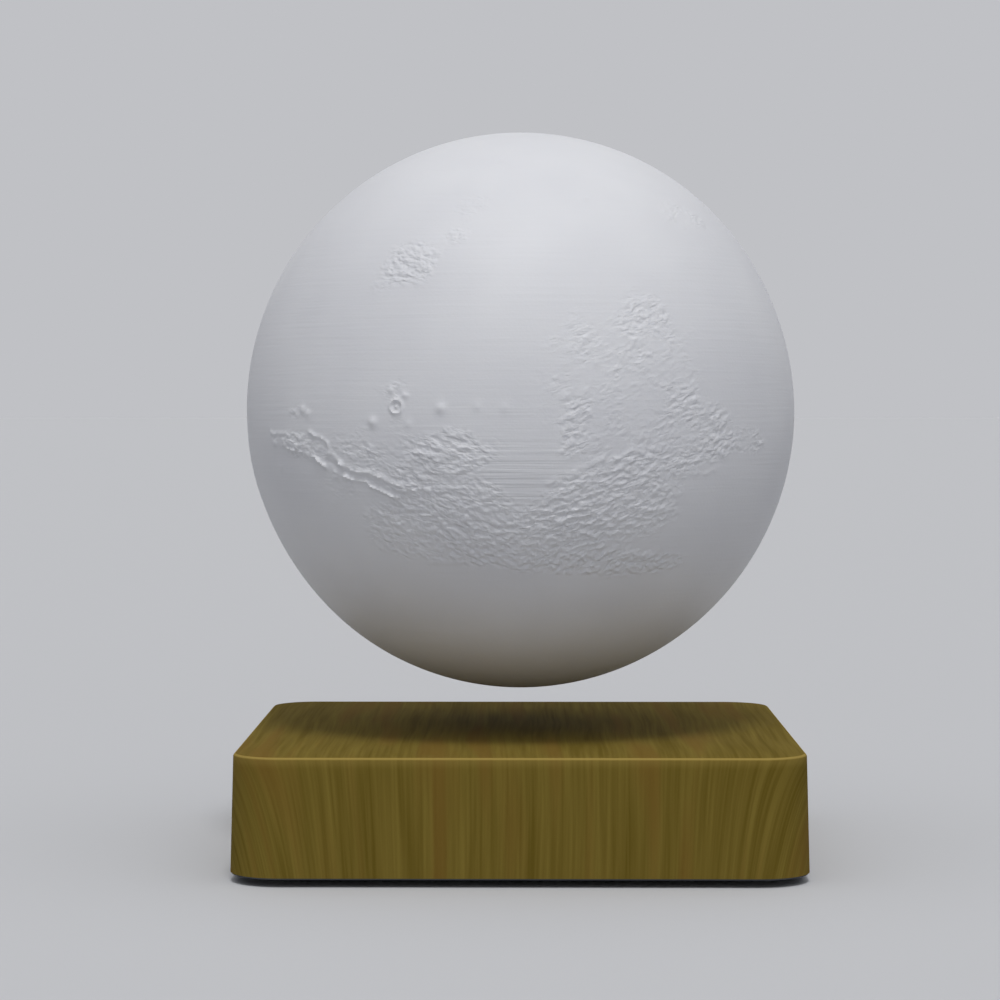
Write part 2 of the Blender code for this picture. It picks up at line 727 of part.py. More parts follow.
def board_parts():
    """The larger parts that stand on the board's rim, outside the magnet tray."""
    low = BOARD_TOP_Z + SOLDER_GAP
    chip = board_place(CHIP_ANGLE_DEG, half_diagonal(CHIP_SIZE))
    moulded_block("controller_chip", CHIP_SIZE, chip, low)
    inductor = board_place(INDUCTOR_ANGLE_DEG, half_diagonal(INDUCTOR_SIZE))
    moulded_block("power_inductor", INDUCTOR_SIZE, inductor, low)
    profile = capacitor_profile(CAPACITOR_RADIUS, CAPACITOR_HEIGHT, low)
    for number, angle in enumerate(CAPACITOR_ANGLES_DEG, 1):
        x, y = board_place(angle, CAPACITOR_RADIUS)
        revolved(f"smoothing_capacitor_{number}", profile, capacitor_sleeve(), MEDIUM_SIDES, shifted(x, y))


def capacitor_profile(radius, height, low):
    """A can capacitor, with the groove rolled in near its foot."""
    groove = low + height / 6
    return [
        (0.0, low),
        (radius, low),
        (radius, groove - CAPACITOR_GROOVE),
        (radius - CAPACITOR_GROOVE, groove),
        (radius, groove + CAPACITOR_GROOVE),
        (radius, low + height - CAPACITOR_GROOVE),
        (radius - CAPACITOR_GROOVE, low + height),
        (0.0, low + height),
    ]


def connector_place(angle_deg):
    return board_place(angle_deg, half_diagonal(CONNECTOR_SIZE))


def connector_blocks():
    """The bodies of the headers for the supply, the power coil and the touch foil."""
    bm = bmesh.new()
    for angle in CONNECTOR_ANGLES_DEG:
        add_box(bm, CONNECTOR_SIZE, connector_place(angle), BOARD_TOP_Z - SOLDER_GAP)
    return object_from("header_tool", bm, None)


def header_floor_z():
    """Floor of the headers, which the ends of the leads meet."""
    return BOARD_TOP_Z - SOLDER_GAP + CONNECTOR_SIZE[2] - CONNECTOR_DEPTH


def header_top_z():
    return header_floor_z() + CONNECTOR_DEPTH


def header_hollows():
    """The hollows of the headers, open at the top."""
    inside = rectangle(CONNECTOR_SIZE[0] - 2 * CONNECTOR_WALL, CONNECTOR_SIZE[1] - 2 * CONNECTOR_WALL)
    bm = bmesh.new()
    for angle in CONNECTOR_ANGLES_DEG:
        add_prism(bm, inside, header_floor_z(), header_top_z() + OVERRUN, connector_place(angle))
    return object_from("header_cutter", bm, None)


def stack_screws():
    """Four screws through the tray's lugs and the board into the plate's pillars."""
    tip = PLATE_TOP_Z + PILLAR_HEIGHT - STACK_SCREW_GRIP
    profile = screw_profile(MAGNET_Z, tip, SCREW_SHANK_RADIUS, SCREW_HEAD_RADIUS, SCREW_HEAD_HEIGHT)
    for number, (x, y) in enumerate(lug_places(), 1):
        revolved(f"stack_screw_{number}", profile, steel(), SMALL_SIDES, shifted(x, y))


def steel_backplate():
    """The steel disc that closes the magnets' field below."""
    radius = TRAY_RADIUS - BACKPLATE_INSET
    top = BACKPLATE_Z + BACKPLATE_THICKNESS
    profile = [(0.0, BACKPLATE_Z), (radius, BACKPLATE_Z), (radius, top), (0.0, top)]
    revolved("steel_backplate", profile, steel())


def magnet_tray():
    """The moulded tray: a round floor, a collar round each magnet, a sensor post and four screw lugs."""
    tray = revolved(
        "magnet_tray",
        [(0.0, TRAY_Z), (TRAY_RADIUS, TRAY_Z), (TRAY_RADIUS, TRAY_TOP_Z), (0.0, TRAY_TOP_Z)],
        black_plastic(),
    )
    bm = bmesh.new()
    for centre in lug_places():
        add_prism(bm, circle(LUG_RADIUS, MEDIUM_SIDES), BACKPLATE_Z, TRAY_TOP_Z, centre)
    combine(tray, object_from("lug_tool", bm, None), "UNION")
    bm = bmesh.new()
    top = TRAY_TOP_Z + COLLAR_HEIGHT
    low = TRAY_TOP_Z - TRAY_FLOOR / 2
    inner, outer = MAGNET_SEAT_RADIUS, COLLAR_RADIUS
    collar = [(inner, low), (outer, low), (outer, top), (inner, top)]
    for x, y in magnet_places():
        add_revolved(bm, collar, MEDIUM_SIDES, shifted(x, y))
    combine(tray, object_from("collar_tool", bm, None), "UNION")
    bm = bmesh.new()
    add_prism(bm, circle(HALL_POST_RADIUS, SMALL_SIDES), low, hall_board_z() - FIT_GAP)
    for centre in ring_places(COIL_RING_RADIUS, COIL_COUNT):
        add_prism(bm, circle(BOBBIN_POST_RADIUS, SMALL_SIDES), low, TRAY_TOP_Z + BOBBIN_POST_HEIGHT, centre)
    combine(tray, object_from("post_tool", bm, None), "UNION")
    combine(tray, lug_holes("lug_hole_cutter", BACKPLATE_Z - OVERRUN, TRAY_TOP_Z + OVERRUN), "DIFFERENCE")


def magnet_places():
    """The magnets stand between the coils, half a step round from them."""
    return ring_places(MAGNET_RING_RADIUS, MAGNET_COUNT, 180.0 / MAGNET_COUNT)


def ring_magnets():
    """Eight chamfered cylinders in the tray's collars."""
    profile = chamfered_disc(MAGNET_RADIUS, MAGNET_Z, MAGNET_TOP_Z, MAGNET_CHAMFER)
    for number, (x, y) in enumerate(magnet_places(), 1):
        revolved(f"ring_magnet_{number}", profile, nickel(), MEDIUM_SIDES, shifted(x, y))


def chamfered_disc(radius, low, high, chamfer):
    """The profile of a disc with both edges chamfered."""
    return [
        (0.0, low),
        (radius - chamfer, low),
        (radius, low + chamfer),
        (radius, high - chamfer),
        (radius - chamfer, high),
        (0.0, high),
    ]


def wound_profile(inner, outer, low, high, layers, groove):
    """A wound ring whose outer side shows the hollows between its layers of wire."""
    profile = [(inner, low), (outer - groove, low)]
    layer = (high - low) / layers
    for k in range(layers):
        profile.append((outer, low + (k + 0.5) * layer))
        profile.append((outer - groove, low + (k + 1) * layer))
    profile.append((inner, high))
    return profile


def steering_coils():
    """Four steering coils, each a flanged bobbin on a post of the tray, and its winding."""
    tube_inner = BOBBIN_POST_RADIUS + FIT_GAP
    tube_outer = tube_inner + BOBBIN_TUBE_WALL
    low_flange = MAGNET_Z + BOBBIN_FLANGE
    high_flange = MAGNET_TOP_Z - BOBBIN_FLANGE
    bobbin = [
        (tube_inner, MAGNET_Z),
        (BOBBIN_RADIUS, MAGNET_Z),
        (BOBBIN_RADIUS, low_flange),
        (tube_outer, low_flange),
        (tube_outer, high_flange),
        (BOBBIN_RADIUS, high_flange),
        (BOBBIN_RADIUS, MAGNET_TOP_Z),
        (tube_inner, MAGNET_TOP_Z),
    ]
    winding = wound_profile(
        tube_outer + FIT_GAP,
        BOBBIN_RADIUS - WINDING_INSET,
        low_flange + FIT_GAP,
        high_flange - FIT_GAP,
        WINDING_WIRE_LAYERS,
        WINDING_GROOVE,
    )
    for number, (x, y) in enumerate(ring_places(COIL_RING_RADIUS, COIL_COUNT), 1):
        revolved(f"coil_bobbin_{number}", bobbin, white_plastic(), MEDIUM_SIDES, shifted(x, y))
        revolved(f"coil_winding_{number}", winding, copper(), MEDIUM_SIDES, shifted(x, y))


def hall_board_z():
    """The sensor board lies at the middle of the coils' height."""
    return (MAGNET_Z + MAGNET_TOP_Z) / 2


def hall_sensor_board():
    """A small board on the tray's middle post, with the three sensors that stand on it."""
    bm = bmesh.new()
    size = (HALL_BOARD_WIDTH, HALL_BOARD_WIDTH, HALL_BOARD_THICKNESS)
    add_box(bm, size, (0.0, 0.0), hall_board_z())
    board = object_from("hall_sensor_board", bm, green_board())
    bm = bmesh.new()
    low = hall_board_z() + HALL_BOARD_THICKNESS / 2
    for step in (-1, 0, 1):
        add_box(bm, HALL_SENSOR_SIZE, (0.0, step * HALL_SENSOR_PITCH), low)
    combine(board, object_from("hall_sensor_tool", bm, None), "UNION")


def former_bore():
    """Radius of the hole in the coil former, a lip's width inside the coil."""
    return POWER_COIL_INNER_RADIUS - POWER_COIL_WIRE_RADIUS - FORMER_LIP


def transmitter_former():
    """The flat ring that carries the power coil, with a groove for the wire from the coil's inner end."""
    inner = former_bore()
    former = revolved(
        "transmitter_former",
        [(inner, FORMER_Z), (TRAY_RADIUS, FORMER_Z), (TRAY_RADIUS, FORMER_TOP_Z), (inner, FORMER_TOP_Z)],
        black_plastic(),
    )
    bm = bmesh.new()
    length = TRAY_RADIUS - inner + 2 * OVERRUN
    width = 2 * (POWER_COIL_WIRE_RADIUS + FIT_GAP)
    floor = FORMER_TOP_Z - LEAD_GROOVE_DEPTH
    add_prism(bm, rectangle(length, width), floor, FORMER_TOP_Z + OVERRUN, (-(inner + TRAY_RADIUS) / 2, 0.0))
    combine(former, object_from("lead_groove_cutter", bm, None), "DIFFERENCE")


def tube(name, points, radius, finish):
    """A wire: a curve with a round bevel and closed ends."""
    curve = bpy.data.curves.new(name, "CURVE")
    curve.dimensions = "3D"
    curve.bevel_depth = radius
    curve.bevel_resolution = 1
    curve.use_fill_caps = True
    spline = curve.splines.new("POLY")
    spline.points.add(len(points) - 1)
    for slot, point in zip(spline.points, points):
        slot.co = (*point, 1.0)
    curve.materials.append(finish)
    thing = bpy.data.objects.new(name, curve)
    bpy.context.scene.collection.objects.link(thing)
    return thing


def spiral_points():
    """The power coil's centreline, a flat spiral that starts outside and ends inside, both on the left."""
    count = POWER_COIL_TURNS * POWER_COIL_STEPS
    tightening = POWER_COIL_OUTER_RADIUS - POWER_COIL_INNER_RADIUS
    points = []
    for k in range(count + 1):
        radius = POWER_COIL_OUTER_RADIUS - tightening * k / count
        x, y = polar(radius, 180.0 - 360.0 * k / POWER_COIL_STEPS)
        points.append(Vector((x, y, POWER_COIL_Z)))
    return points


def smooth_route(points, per_span=2):
    """Points along a smooth curve that passes through the route's own points."""
    anchors = [Vector(point) for point in points]
    anchors = [2 * anchors[0] - anchors[1]] + anchors + [2 * anchors[-1] - anchors[-2]]
    route = []
    for a, b, c, d in zip(anchors, anchors[1:], anchors[2:], anchors[3:]):
        for k in range(per_span):
            t = k / per_span
            square = (2 * a - 5 * b + 4 * c - d) * t**2
            cube = (3 * b - a - 3 * c + d) * t**3
            route.append((2 * b + (c - a) * t + square + cube) / 2)
    route.append(anchors[-2])
    return route


def least_gap(points, radius):
    """The least clear distance from a wire to itself, between points and stretches a bend's length apart."""
    bend = 2 * math.pi * radius
    spans = list(zip(points, points[1:]))
    travelled = [0.0]
    for start, end in spans:
        travelled.append(travelled[-1] + (end - start).length)
    nearest = travelled[-1]
    for k, point in enumerate(points):
        for j, (start, end) in enumerate(spans):
            if min(abs(travelled[k] - travelled[j]), abs(travelled[k] - travelled[j + 1])) > bend:
                along = (end - start).dot(point - start) / (end - start).length_squared
                on_span = start.lerp(end, min(max(along, 0.0), 1.0))
                nearest = min(nearest, (point - on_span).length)
    return nearest - 2 * radius


def wire_into_coil(start, plug, over_z, step):
    """The wire from the header up the outside of the tray to the coil's outer end."""
    x, y, plug_z = plug
    beside = -(TRAY_RADIUS + step)
    outside = beside - 2 * step
    return [
        plug,
        (x, y, over_z),
        (x - 2 * step, y + 3 * step, over_z + 2 * step),
        (outside, y / 2, (over_z + POWER_COIL_Z) / 2),
        (outside, -5 * step, POWER_COIL_Z - step),
        (beside, -7 * step / 2, POWER_COIL_Z),
        (start.x - POWER_COIL_WIRE_RADIUS, start.y - 2 * step, POWER_COIL_Z),
    ]


def wire_out_of_coil(end, plug, over_z, step):
    """The wire from the coil's inner end, down the former's bore, along its groove and to the header."""
    x, y, plug_z = plug
    groove_z = FORMER_TOP_Z - LEAD_GROOVE_DEPTH + FIT_GAP + POWER_COIL_WIRE_RADIUS
    drop_x = -(former_bore() - POWER_COIL_WIRE_RADIUS - step / 2)
    beside = -(TRAY_RADIUS + step)
    return [
        (end.x + step, end.y + 4 * step / 3, POWER_COIL_Z),
        (drop_x, end.y + step, POWER_COIL_Z),
        (drop_x + step / 2, end.y + step / 3, (POWER_COIL_Z + groove_z) / 2),
        (drop_x, end.y, groove_z),
        (end.x, end.y, groove_z),
        (beside + 2 * step, end.y, groove_z),
        (beside + step, end.y, groove_z),
        (beside - step / 2, end.y - step, groove_z - step),
        (beside, y / 2, (over_z + groove_z) / 2 - step),
        (x - step, y + 2 * step, over_z + step / 2),
        (x, y, over_z),
        plug,
    ]


def transmitter_coil():
    """The flat power coil, wound from one wire whose two ends run down the tray's side to their header."""
    x, y = connector_place(POWER_CONNECTOR_ANGLE_DEG)
    pin_x = CONNECTOR_SIZE[0] / 2 - CONNECTOR_WALL - POWER_COIL_WIRE_RADIUS - FIT_GAP
    plug_z = header_floor_z() + FIT_GAP
    over_z = header_top_z() + 2 * POWER_COIL_WIRE_RADIUS
    step = 2 * POWER_COIL_WIRE_RADIUS + FIT_GAP
    spiral = spiral_points()
    first = smooth_route(wire_into_coil(spiral[0], (x + pin_x, y, plug_z), over_z, step) + [spiral[0]])
    last = smooth_route([spiral[-1]] + wire_out_of_coil(spiral[-1], (x - pin_x, y, plug_z), over_z, step))
    wire = first[:-1] + spiral + last[1:]
    tube("transmitter_coil", wire, POWER_COIL_WIRE_RADIUS, copper())
    gap = least_gap(wire, POWER_COIL_WIRE_RADIUS)
    print(f"transmitter_coil: least gap between its turns and ends {gap:.5f} m")


def power_socket():
    """The round socket in the back wall: flanged body, centre pin and the nut that holds it."""
    face = socket_face_y()
    shoulder = SOCKET_FLANGE_THICKNESS
    back = shoulder + SOCKET_BODY_LENGTH
    bore_end = SOCKET_BORE_DEPTH
    pin_hole = SOCKET_PIN_RADIUS + FIT_GAP
    edge = SOCKET_FLANGE_THICKNESS / 4
    profile = [
        (SOCKET_BORE_RADIUS, 0.0),
        (SOCKET_FLANGE_RADIUS - edge, 0.0),
        (SOCKET_FLANGE_RADIUS, -edge),
        (SOCKET_FLANGE_RADIUS, -shoulder),
        (SOCKET_BODY_RADIUS, -shoulder),
        (SOCKET_BODY_RADIUS, -back),
        (pin_hole, -back),
        (pin_hole, -bore_end),
        (SOCKET_BORE_RADIUS, -bore_end),
    ]
    revolved("power_socket", profile, black_plastic(), SOCKET_SIDES, along_y(face))
    tip = -SOCKET_PIN_RECESS
    tail = -(back + SOCKET_PIN_TAIL)
    pin = [
        (0.0, tail),
        (SOCKET_PIN_RADIUS, tail),
        (SOCKET_PIN_RADIUS, tip - SOCKET_PIN_RADIUS / 2),
        (SOCKET_PIN_RADIUS / 2, tip),
        (0.0, tip),
    ]
    revolved("socket_pin", pin, nickel(), SMALL_SIDES, along_y(face))
    nut_front = socket_pad_y() - FIT_GAP
    bm = bmesh.new()
    corner = SOCKET_NUT_ACROSS_FLATS / 2 / math.cos(math.radians(30.0))
    add_prism(bm, circle(corner, 6), -SOCKET_NUT_THICKNESS, 0.0)
    bmesh.ops.transform(bm, matrix=along_y(nut_front), verts=bm.verts)
    nut = object_from("socket_nut", bm, steel())
    bm = bmesh.new()
    reach = SOCKET_NUT_THICKNESS + 2 * OVERRUN
    add_prism(bm, circle(SOCKET_BODY_RADIUS + FIT_GAP, SOCKET_SIDES), 0.0, reach)
    bmesh.ops.transform(bm, matrix=along_y(nut_front - SOCKET_NUT_THICKNESS - OVERRUN), verts=bm.verts)
    combine(nut, object_from("nut_hole_cutter", bm, None), "DIFFERENCE")


def supply_leads():
    """The two leads from the socket to the supply header."""
    back_y = socket_face_y() - SOCKET_FLANGE_THICKNESS - SOCKET_BODY_LENGTH
    header_x, header_y = connector_place(SUPPLY_CONNECTOR_ANGLE_DEG)
    pin_x = CONNECTOR_SIZE[0] / 2 - CONNECTOR_WALL - 2 * LEAD_RADIUS
    plug_z = header_floor_z() + FIT_GAP
    over_z = header_top_z() + LEAD_RADIUS
    pin_end = back_y - SOCKET_PIN_TAIL - FIT_GAP
    sleeve_end = back_y - FIT_GAP
    sleeve_z = SOCKET_HEIGHT + (SOCKET_BODY_RADIUS + SOCKET_PIN_RADIUS) / 2
    bend = SOCKET_PIN_TAIL / 2
    positive = [
        (0.0, pin_end, SOCKET_HEIGHT),
        (0.0, pin_end - LEAD_RADIUS, SOCKET_HEIGHT),
        (header_x / 4, pin_end - bend, SOCKET_HEIGHT),
        (header_x * 3 / 4, header_y, over_z + bend),
        (header_x + pin_x, header_y, over_z),
        (header_x + pin_x, header_y, plug_z),
    ]
    negative = [
        (0.0, sleeve_end, sleeve_z),
        (0.0, sleeve_end - bend, sleeve_z),
        (header_x / 4, pin_end, sleeve_z + bend),
        (header_x * 3 / 4, header_y + bend, over_z + 3 * bend),
        (header_x - pin_x, header_y, over_z + LEAD_RADIUS),
        (header_x - pin_x, header_y, plug_z),
    ]
    red = insulation("red_insulation", (0.40, 0.02, 0.015))
    black = insulation("black_insulation", (0.015, 0.015, 0.015))
    tube("supply_lead_positive", smooth_route(positive), LEAD_RADIUS, red)
    tube("supply_lead_negative", smooth_route(negative), LEAD_RADIUS, black)


def touch_sensor():
    """The foil behind the front wall that senses a finger, and its lead."""
    z = (FORMER_Z + MAGNET_Z) / 2
    lean = math.radians(HOUSING_DRAFT_DEG)
    bm = bmesh.new()
    add_prism(bm, rectangle(TOUCH_PAD_WIDTH, TOUCH_PAD_HEIGHT), 0.0, TOUCH_PAD_THICKNESS)
    wall_y = -(half_width(z) - HOUSING_WALL - FIT_GAP)
    matrix = Matrix.Translation((0.0, wall_y, z)) @ Matrix.Rotation(math.radians(-90.0) - lean, 4, "X")
    bmesh.ops.transform(bm, matrix=matrix, verts=bm.verts)
    object_from("touch_pad", bm, copper())
    header_x, header_y = connector_place(TOUCH_CONNECTOR_ANGLE_DEG)
    over_z = header_top_z() + LEAD_RADIUS
    start_y = wall_y + TOUCH_PAD_THICKNESS + 2 * FIT_GAP
    route = [
        (0.0, start_y, z),
        (0.0, start_y + 2 * LEAD_RADIUS, z),
        (header_x / 2, (start_y + header_y) / 2, z + LEAD_RADIUS),
        (header_x, header_y, over_z + LEAD_RADIUS),
        (header_x, header_y, header_floor_z() + FIT_GAP),
    ]
    grey = insulation("grey_insulation", (0.12, 0.12, 0.13))
    tube("touch_lead", smooth_route(route), LEAD_RADIUS, grey)


# Swells and basins of the globe's print: longitude and latitude in degrees, 0 and 0 facing -Y,
# the spread in degrees, and the height as a share of RELIEF_HEIGHT
TERRAIN_SHARES = (
    (25.0, -14.0, 24.0, 1.0),
    (34.0, 14.0, 17.0, 0.7),
    (-24.0, -9.0, 17.0, 0.8),
    (-52.0, -10.0, 12.0, 0.7),
    (-8.0, 14.0, 26.0, -0.9),
    (-24.0, 32.0, 10.0, 0.5),
    (-42.0, -28.0, 15.0, -0.7),
    (4.0, -26.0, 18.0, 0.6),
    (70.0, -4.0, 16.0, 0.6),
    (110.0, 22.0, 24.0, -0.8),
    (138.0, -18.0, 22.0, 0.9),
    (178.0, 12.0, 26.0, -0.7),
    (-150.0, -22.0, 20.0, 0.8),
    (-112.0, 18.0, 22.0, 0.7),
    (-88.0, -32.0, 16.0, -0.6),
    (60.0, 48.0, 18.0, 0.4),
    (-140.0, 52.0, 20.0, 0.5),
)


def globe_direction(longitude_deg, latitude_deg):
    """A unit vector on the globe; longitude 0 faces -Y and grows towards +X."""
    longitude, latitude = math.radians(longitude_deg), math.radians(latitude_deg)
    return Vector(
        (
            math.sin(longitude) * math.cos(latitude),
            -math.cos(longitude) * math.cos(latitude),
            math.sin(latitude),
        )
    )


def relief(direction):
    """How far the print stands out or in along a direction, from its swells and basins."""
    height = 0.0
    for longitude, latitude, spread, share in TERRAIN_SHARES:
        away = direction.angle(globe_direction(longitude, latitude))
        height += share * RELIEF_HEIGHT * math.exp(-((away / math.radians(spread)) ** 2))
    return height


def surface_z(radius, inset):
    """Height of the globe's lower half at a distance from its axis, on the surface drawn in by an inset."""
    across = GLOBE_DIAMETER / 2 - inset
    up = GLOBE_HEIGHT / 2 - inset
    return GLOBE_CENTRE_Z - up * math.sqrt(1 - (radius / across) ** 2)


def meridian(inset, opening, bands):
    """The globe's section from its opening to its top, on the surface drawn in by an inset."""
    across = GLOBE_DIAMETER / 2 - inset
    up = GLOBE_HEIGHT / 2 - inset
    start = math.asin(opening / across)
    points = []
    for k in range(bands + 1):
        angle = start + (math.pi - start) * k / bands
        radius = opening if k == 0 else across * math.sin(angle)
        points.append((0.0 if k == bands else radius, GLOBE_CENTRE_Z - up * math.cos(angle)))
    return points


def moon_globe():
    """The hollow printed globe, open below for its cap, with the print's swells and basins."""
    opening = CAP_RADIUS + FIT_GAP
    outer = meridian(0.0, opening, GLOBE_BANDS)
    inner = meridian(GLOBE_WALL, opening, GLOBE_INNER_BANDS)
    globe = revolved("moon_globe", outer + list(reversed(inner)), white_print(), GLOBE_SEGMENTS)
    centre = Vector((0.0, 0.0, GLOBE_CENTRE_Z))
    rim_z = surface_z(opening, 0.0)
    middle = GLOBE_DIAMETER / 2 - GLOBE_WALL / 2
    for vertex in globe.data.vertices:
        arm = vertex.co - centre
        across_share = math.hypot(arm.x, arm.y) / middle
        up_share = arm.z / (GLOBE_HEIGHT / 2 - GLOBE_WALL / 2)
        if math.hypot(across_share, up_share) > 1.0 and vertex.co.z > rim_z + FIT_GAP:
            vertex.co += arm.normalized() * relief(arm)


def globe_cap():
    """The cap under the globe: its face carries the globe's curve on, and its shelf holds the carrier."""
    shares = [k / CAP_STEPS for k in range(CAP_STEPS + 1)]
    inner_radius = CAP_RADIUS - CAP_RIM_WALL
    shelf_inner = inner_radius - CAP_SHELF_WIDTH
    rim_z = surface_z(CAP_RADIUS, 0.0) + CAP_RIM_RISE
    outer = [(CAP_RADIUS * share, surface_z(CAP_RADIUS * share, 0.0)) for share in shares]
    inner = [(shelf_inner * share, surface_z(shelf_inner * share, CAP_SHELL)) for share in reversed(shares)]
    profile = outer + [
        (CAP_RADIUS, rim_z),
        (inner_radius, rim_z),
        (inner_radius, shelf_z()),
        (shelf_inner, shelf_z()),
    ]
    revolved("globe_cap", profile + inner, white_print())


def shelf_z():
    """Top of the shelf in the cap, which carries the carrier's flange."""
    return surface_z(CAP_RADIUS - CAP_RIM_WALL, 0.0) + CAP_SHELL


def cup_z():
    """Underside of the carrier's cup, just clear of the cap's hollow."""
    return surface_z(CUP_RADIUS, CAP_SHELL) + FIT_GAP


def float_magnet_z():
    return cup_z() + CUP_FLOOR + FIT_GAP


def receiver_coil_z():
    """Underside of the receiver coil, which lies on the carrier's flange."""
    return shelf_z() + CARRIER_FLANGE + 2 * FIT_GAP


def cup_top_z():
    """The cup's wall ends just above the magnet and the coil round it, and the LED board lies on it."""
    return max(float_magnet_z() + FLOAT_MAGNET_HEIGHT, receiver_coil_z() + RECEIVER_COIL_HEIGHT) + FIT_GAP


def led_board_z():
    return cup_top_z() + FIT_GAP


def magnet_carrier():
    """The white cup that holds the float magnet, with a flange on the cap's shelf and three screw posts."""
    flange_z = shelf_z() + FIT_GAP
    flange_top = flange_z + CARRIER_FLANGE
    floor_top = cup_z() + CUP_FLOOR
    profile = [
        (0.0, cup_z()),
        (CUP_RADIUS, cup_z()),
        (CUP_RADIUS, flange_z),
        (CARRIER_RADIUS, flange_z),
        (CARRIER_RADIUS, flange_top),
        (CUP_RADIUS, flange_top),
        (CUP_RADIUS, cup_top_z()),
        (CUP_INNER_RADIUS, cup_top_z()),
        (CUP_INNER_RADIUS, floor_top),
        (0.0, floor_top),
    ]
    carrier = revolved("magnet_carrier", profile, white_plastic())
    bm = bmesh.new()
    post_root = flange_z + CARRIER_FLANGE / 2
    for centre in post_places():
        add_prism(bm, circle(CARRIER_POST_RADIUS, SMALL_SIDES), post_root, cup_top_z(), centre)
    combine(carrier, object_from("carrier_post_tool", bm, None), "UNION")
    bm = bmesh.new()
    pilot = CARRIER_SCREW_SHANK_RADIUS + FIT_GAP / 2
    tip = cup_top_z() - CARRIER_SCREW_GRIP - FIT_GAP
    for centre in post_places():
        add_prism(bm, circle(pilot, SMALL_SIDES), tip, cup_top_z() + OVERRUN, centre)
    combine(carrier, object_from("post_pilot_cutter", bm, None), "DIFFERENCE")


def post_places():
    return ring_places(POST_RING_RADIUS, CARRIER_SCREW_COUNT, 90.0)


def float_magnet():
    """The disc magnet that carries the globe."""
    low = float_magnet_z()
    profile = chamfered_disc(FLOAT_MAGNET_RADIUS, low, low + FLOAT_MAGNET_HEIGHT, FLOAT_MAGNET_CHAMFER)
    revolved("float_magnet", profile, nickel())


def receiver_coil():
    """The coil round the cup that picks the power up; its wire ends rise through the LED board."""
    low = receiver_coil_z()
    high = low + RECEIVER_COIL_HEIGHT
    outer = RECEIVER_COIL_RADIUS
    inner = outer - RECEIVER_COIL_WIDTH
    winding = wound_profile(inner, outer, low, high, RECEIVER_COIL_LAYERS, RECEIVER_COIL_GROOVE)
    coil = revolved("receiver_coil", winding, copper())
    board_top = led_board_z() + LED_BOARD_THICKNESS
    stub_top = board_top + LEAD_STUB_RISE
    bm = bmesh.new()
    for centre in lead_places():
        add_prism(bm, circle(LEAD_RADIUS, SMALL_SIDES), high - LEAD_RADIUS, stub_top, centre)
    combine(coil, object_from("wire_end_tool", bm, None), "UNION")


def lead_places():
    """Where the receiver coil's leads rise, either side of +X."""
    radius = RECEIVER_COIL_RADIUS - RECEIVER_COIL_WIDTH / 2
    return [polar(radius, angle) for angle in (-6.0, 6.0)]


def led_blocks(top):
    """The LEDs, in two rings, each turned to face outwards."""
    bm = bmesh.new()
    rings = (
        (LED_OUTER_COUNT, LED_OUTER_RING_SHARE * LED_BOARD_RADIUS),
        (LED_INNER_COUNT, LED_INNER_RING_SHARE * LED_BOARD_RADIUS),
    )
    for count, radius in rings:
        for k in range(count):
            turn = Matrix.Rotation(2 * math.pi * (k + 0.5) / count, 4, "Z") @ shifted(radius, 0.0)
            outline = [turn @ Vector((x, y, 0.0)) for x, y in rectangle(LED_SIZE[1], LED_SIZE[0])]
            add_prism(bm, [corner.xy for corner in outline], top - SOLDER_GAP, top + LED_SIZE[2])
    return object_from("led_tool", bm, None)


def led_board():
    """The round white board on the cup, with the LEDs soldered to it, and its rectifier and capacitor."""
    low = led_board_z()
    top = low + LED_BOARD_THICKNESS
    bm = bmesh.new()
    add_prism(bm, circle(LED_BOARD_RADIUS, LARGE_SIDES), low, top)
    board = object_from("led_board", bm, white_board())
    bm = bmesh.new()
    holes = [(CARRIER_SCREW_SHANK_RADIUS + FIT_GAP, centre) for centre in post_places()]
    holes += [(LEAD_HOLE_RADIUS, centre) for centre in lead_places()]
    for radius, centre in holes:
        add_prism(bm, circle(radius, SMALL_SIDES), low - OVERRUN, top + OVERRUN, centre)
    combine(board, object_from("led_board_cutter", bm, None), "DIFFERENCE")
    combine(board, led_blocks(top), "UNION")
    seat = top + SOLDER_GAP
    moulded_block("bridge_rectifier", RECTIFIER_SIZE, polar(LED_PARTS_RING, 0.0), seat)
    moulded_block("led_driver_chip", LED_CHIP_SIZE, polar(LED_PARTS_RING, 120.0), seat)
    x, y = polar(LED_PARTS_RING, 240.0)
    can = capacitor_profile(LAMP_CAPACITOR_RADIUS, LAMP_CAPACITOR_HEIGHT, seat)
    revolved("lamp_capacitor", can, capacitor_sleeve(), MEDIUM_SIDES, shifted(x, y))


def carrier_screws():
    """Three small screws through the LED board into the carrier's posts."""
    seat = led_board_z() + LED_BOARD_THICKNESS + SOLDER_GAP
    tip = cup_top_z() - CARRIER_SCREW_GRIP
    profile = screw_profile(
        seat, tip, CARRIER_SCREW_SHANK_RADIUS, CARRIER_SCREW_HEAD_RADIUS, CARRIER_SCREW_HEAD_HEIGHT
    )
    for number, (x, y) in enumerate(post_places(), 1):
        revolved(f"carrier_screw_{number}", profile, steel(), SMALL_SIDES, shifted(x, y))


def main():
    """Builds the base from the table up, then the globe and its float module."""
    clear_scene()
    base_housing()
    bottom_plate()
    rubber_feet()
    plate_screws()
    control_board()
    board_parts()
    stack_screws()
    steel_backplate()
    magnet_tray()
    ring_magnets()
    steering_coils()
    hall_sensor_board()
    transmitter_former()
    transmitter_coil()
    power_socket()
    supply_leads()
    touch_sensor()
    moon_globe()
    globe_cap()
    magnet_carrier()
    float_magnet()
    receiver_coil()
    led_board()
    carrier_screws()


main()
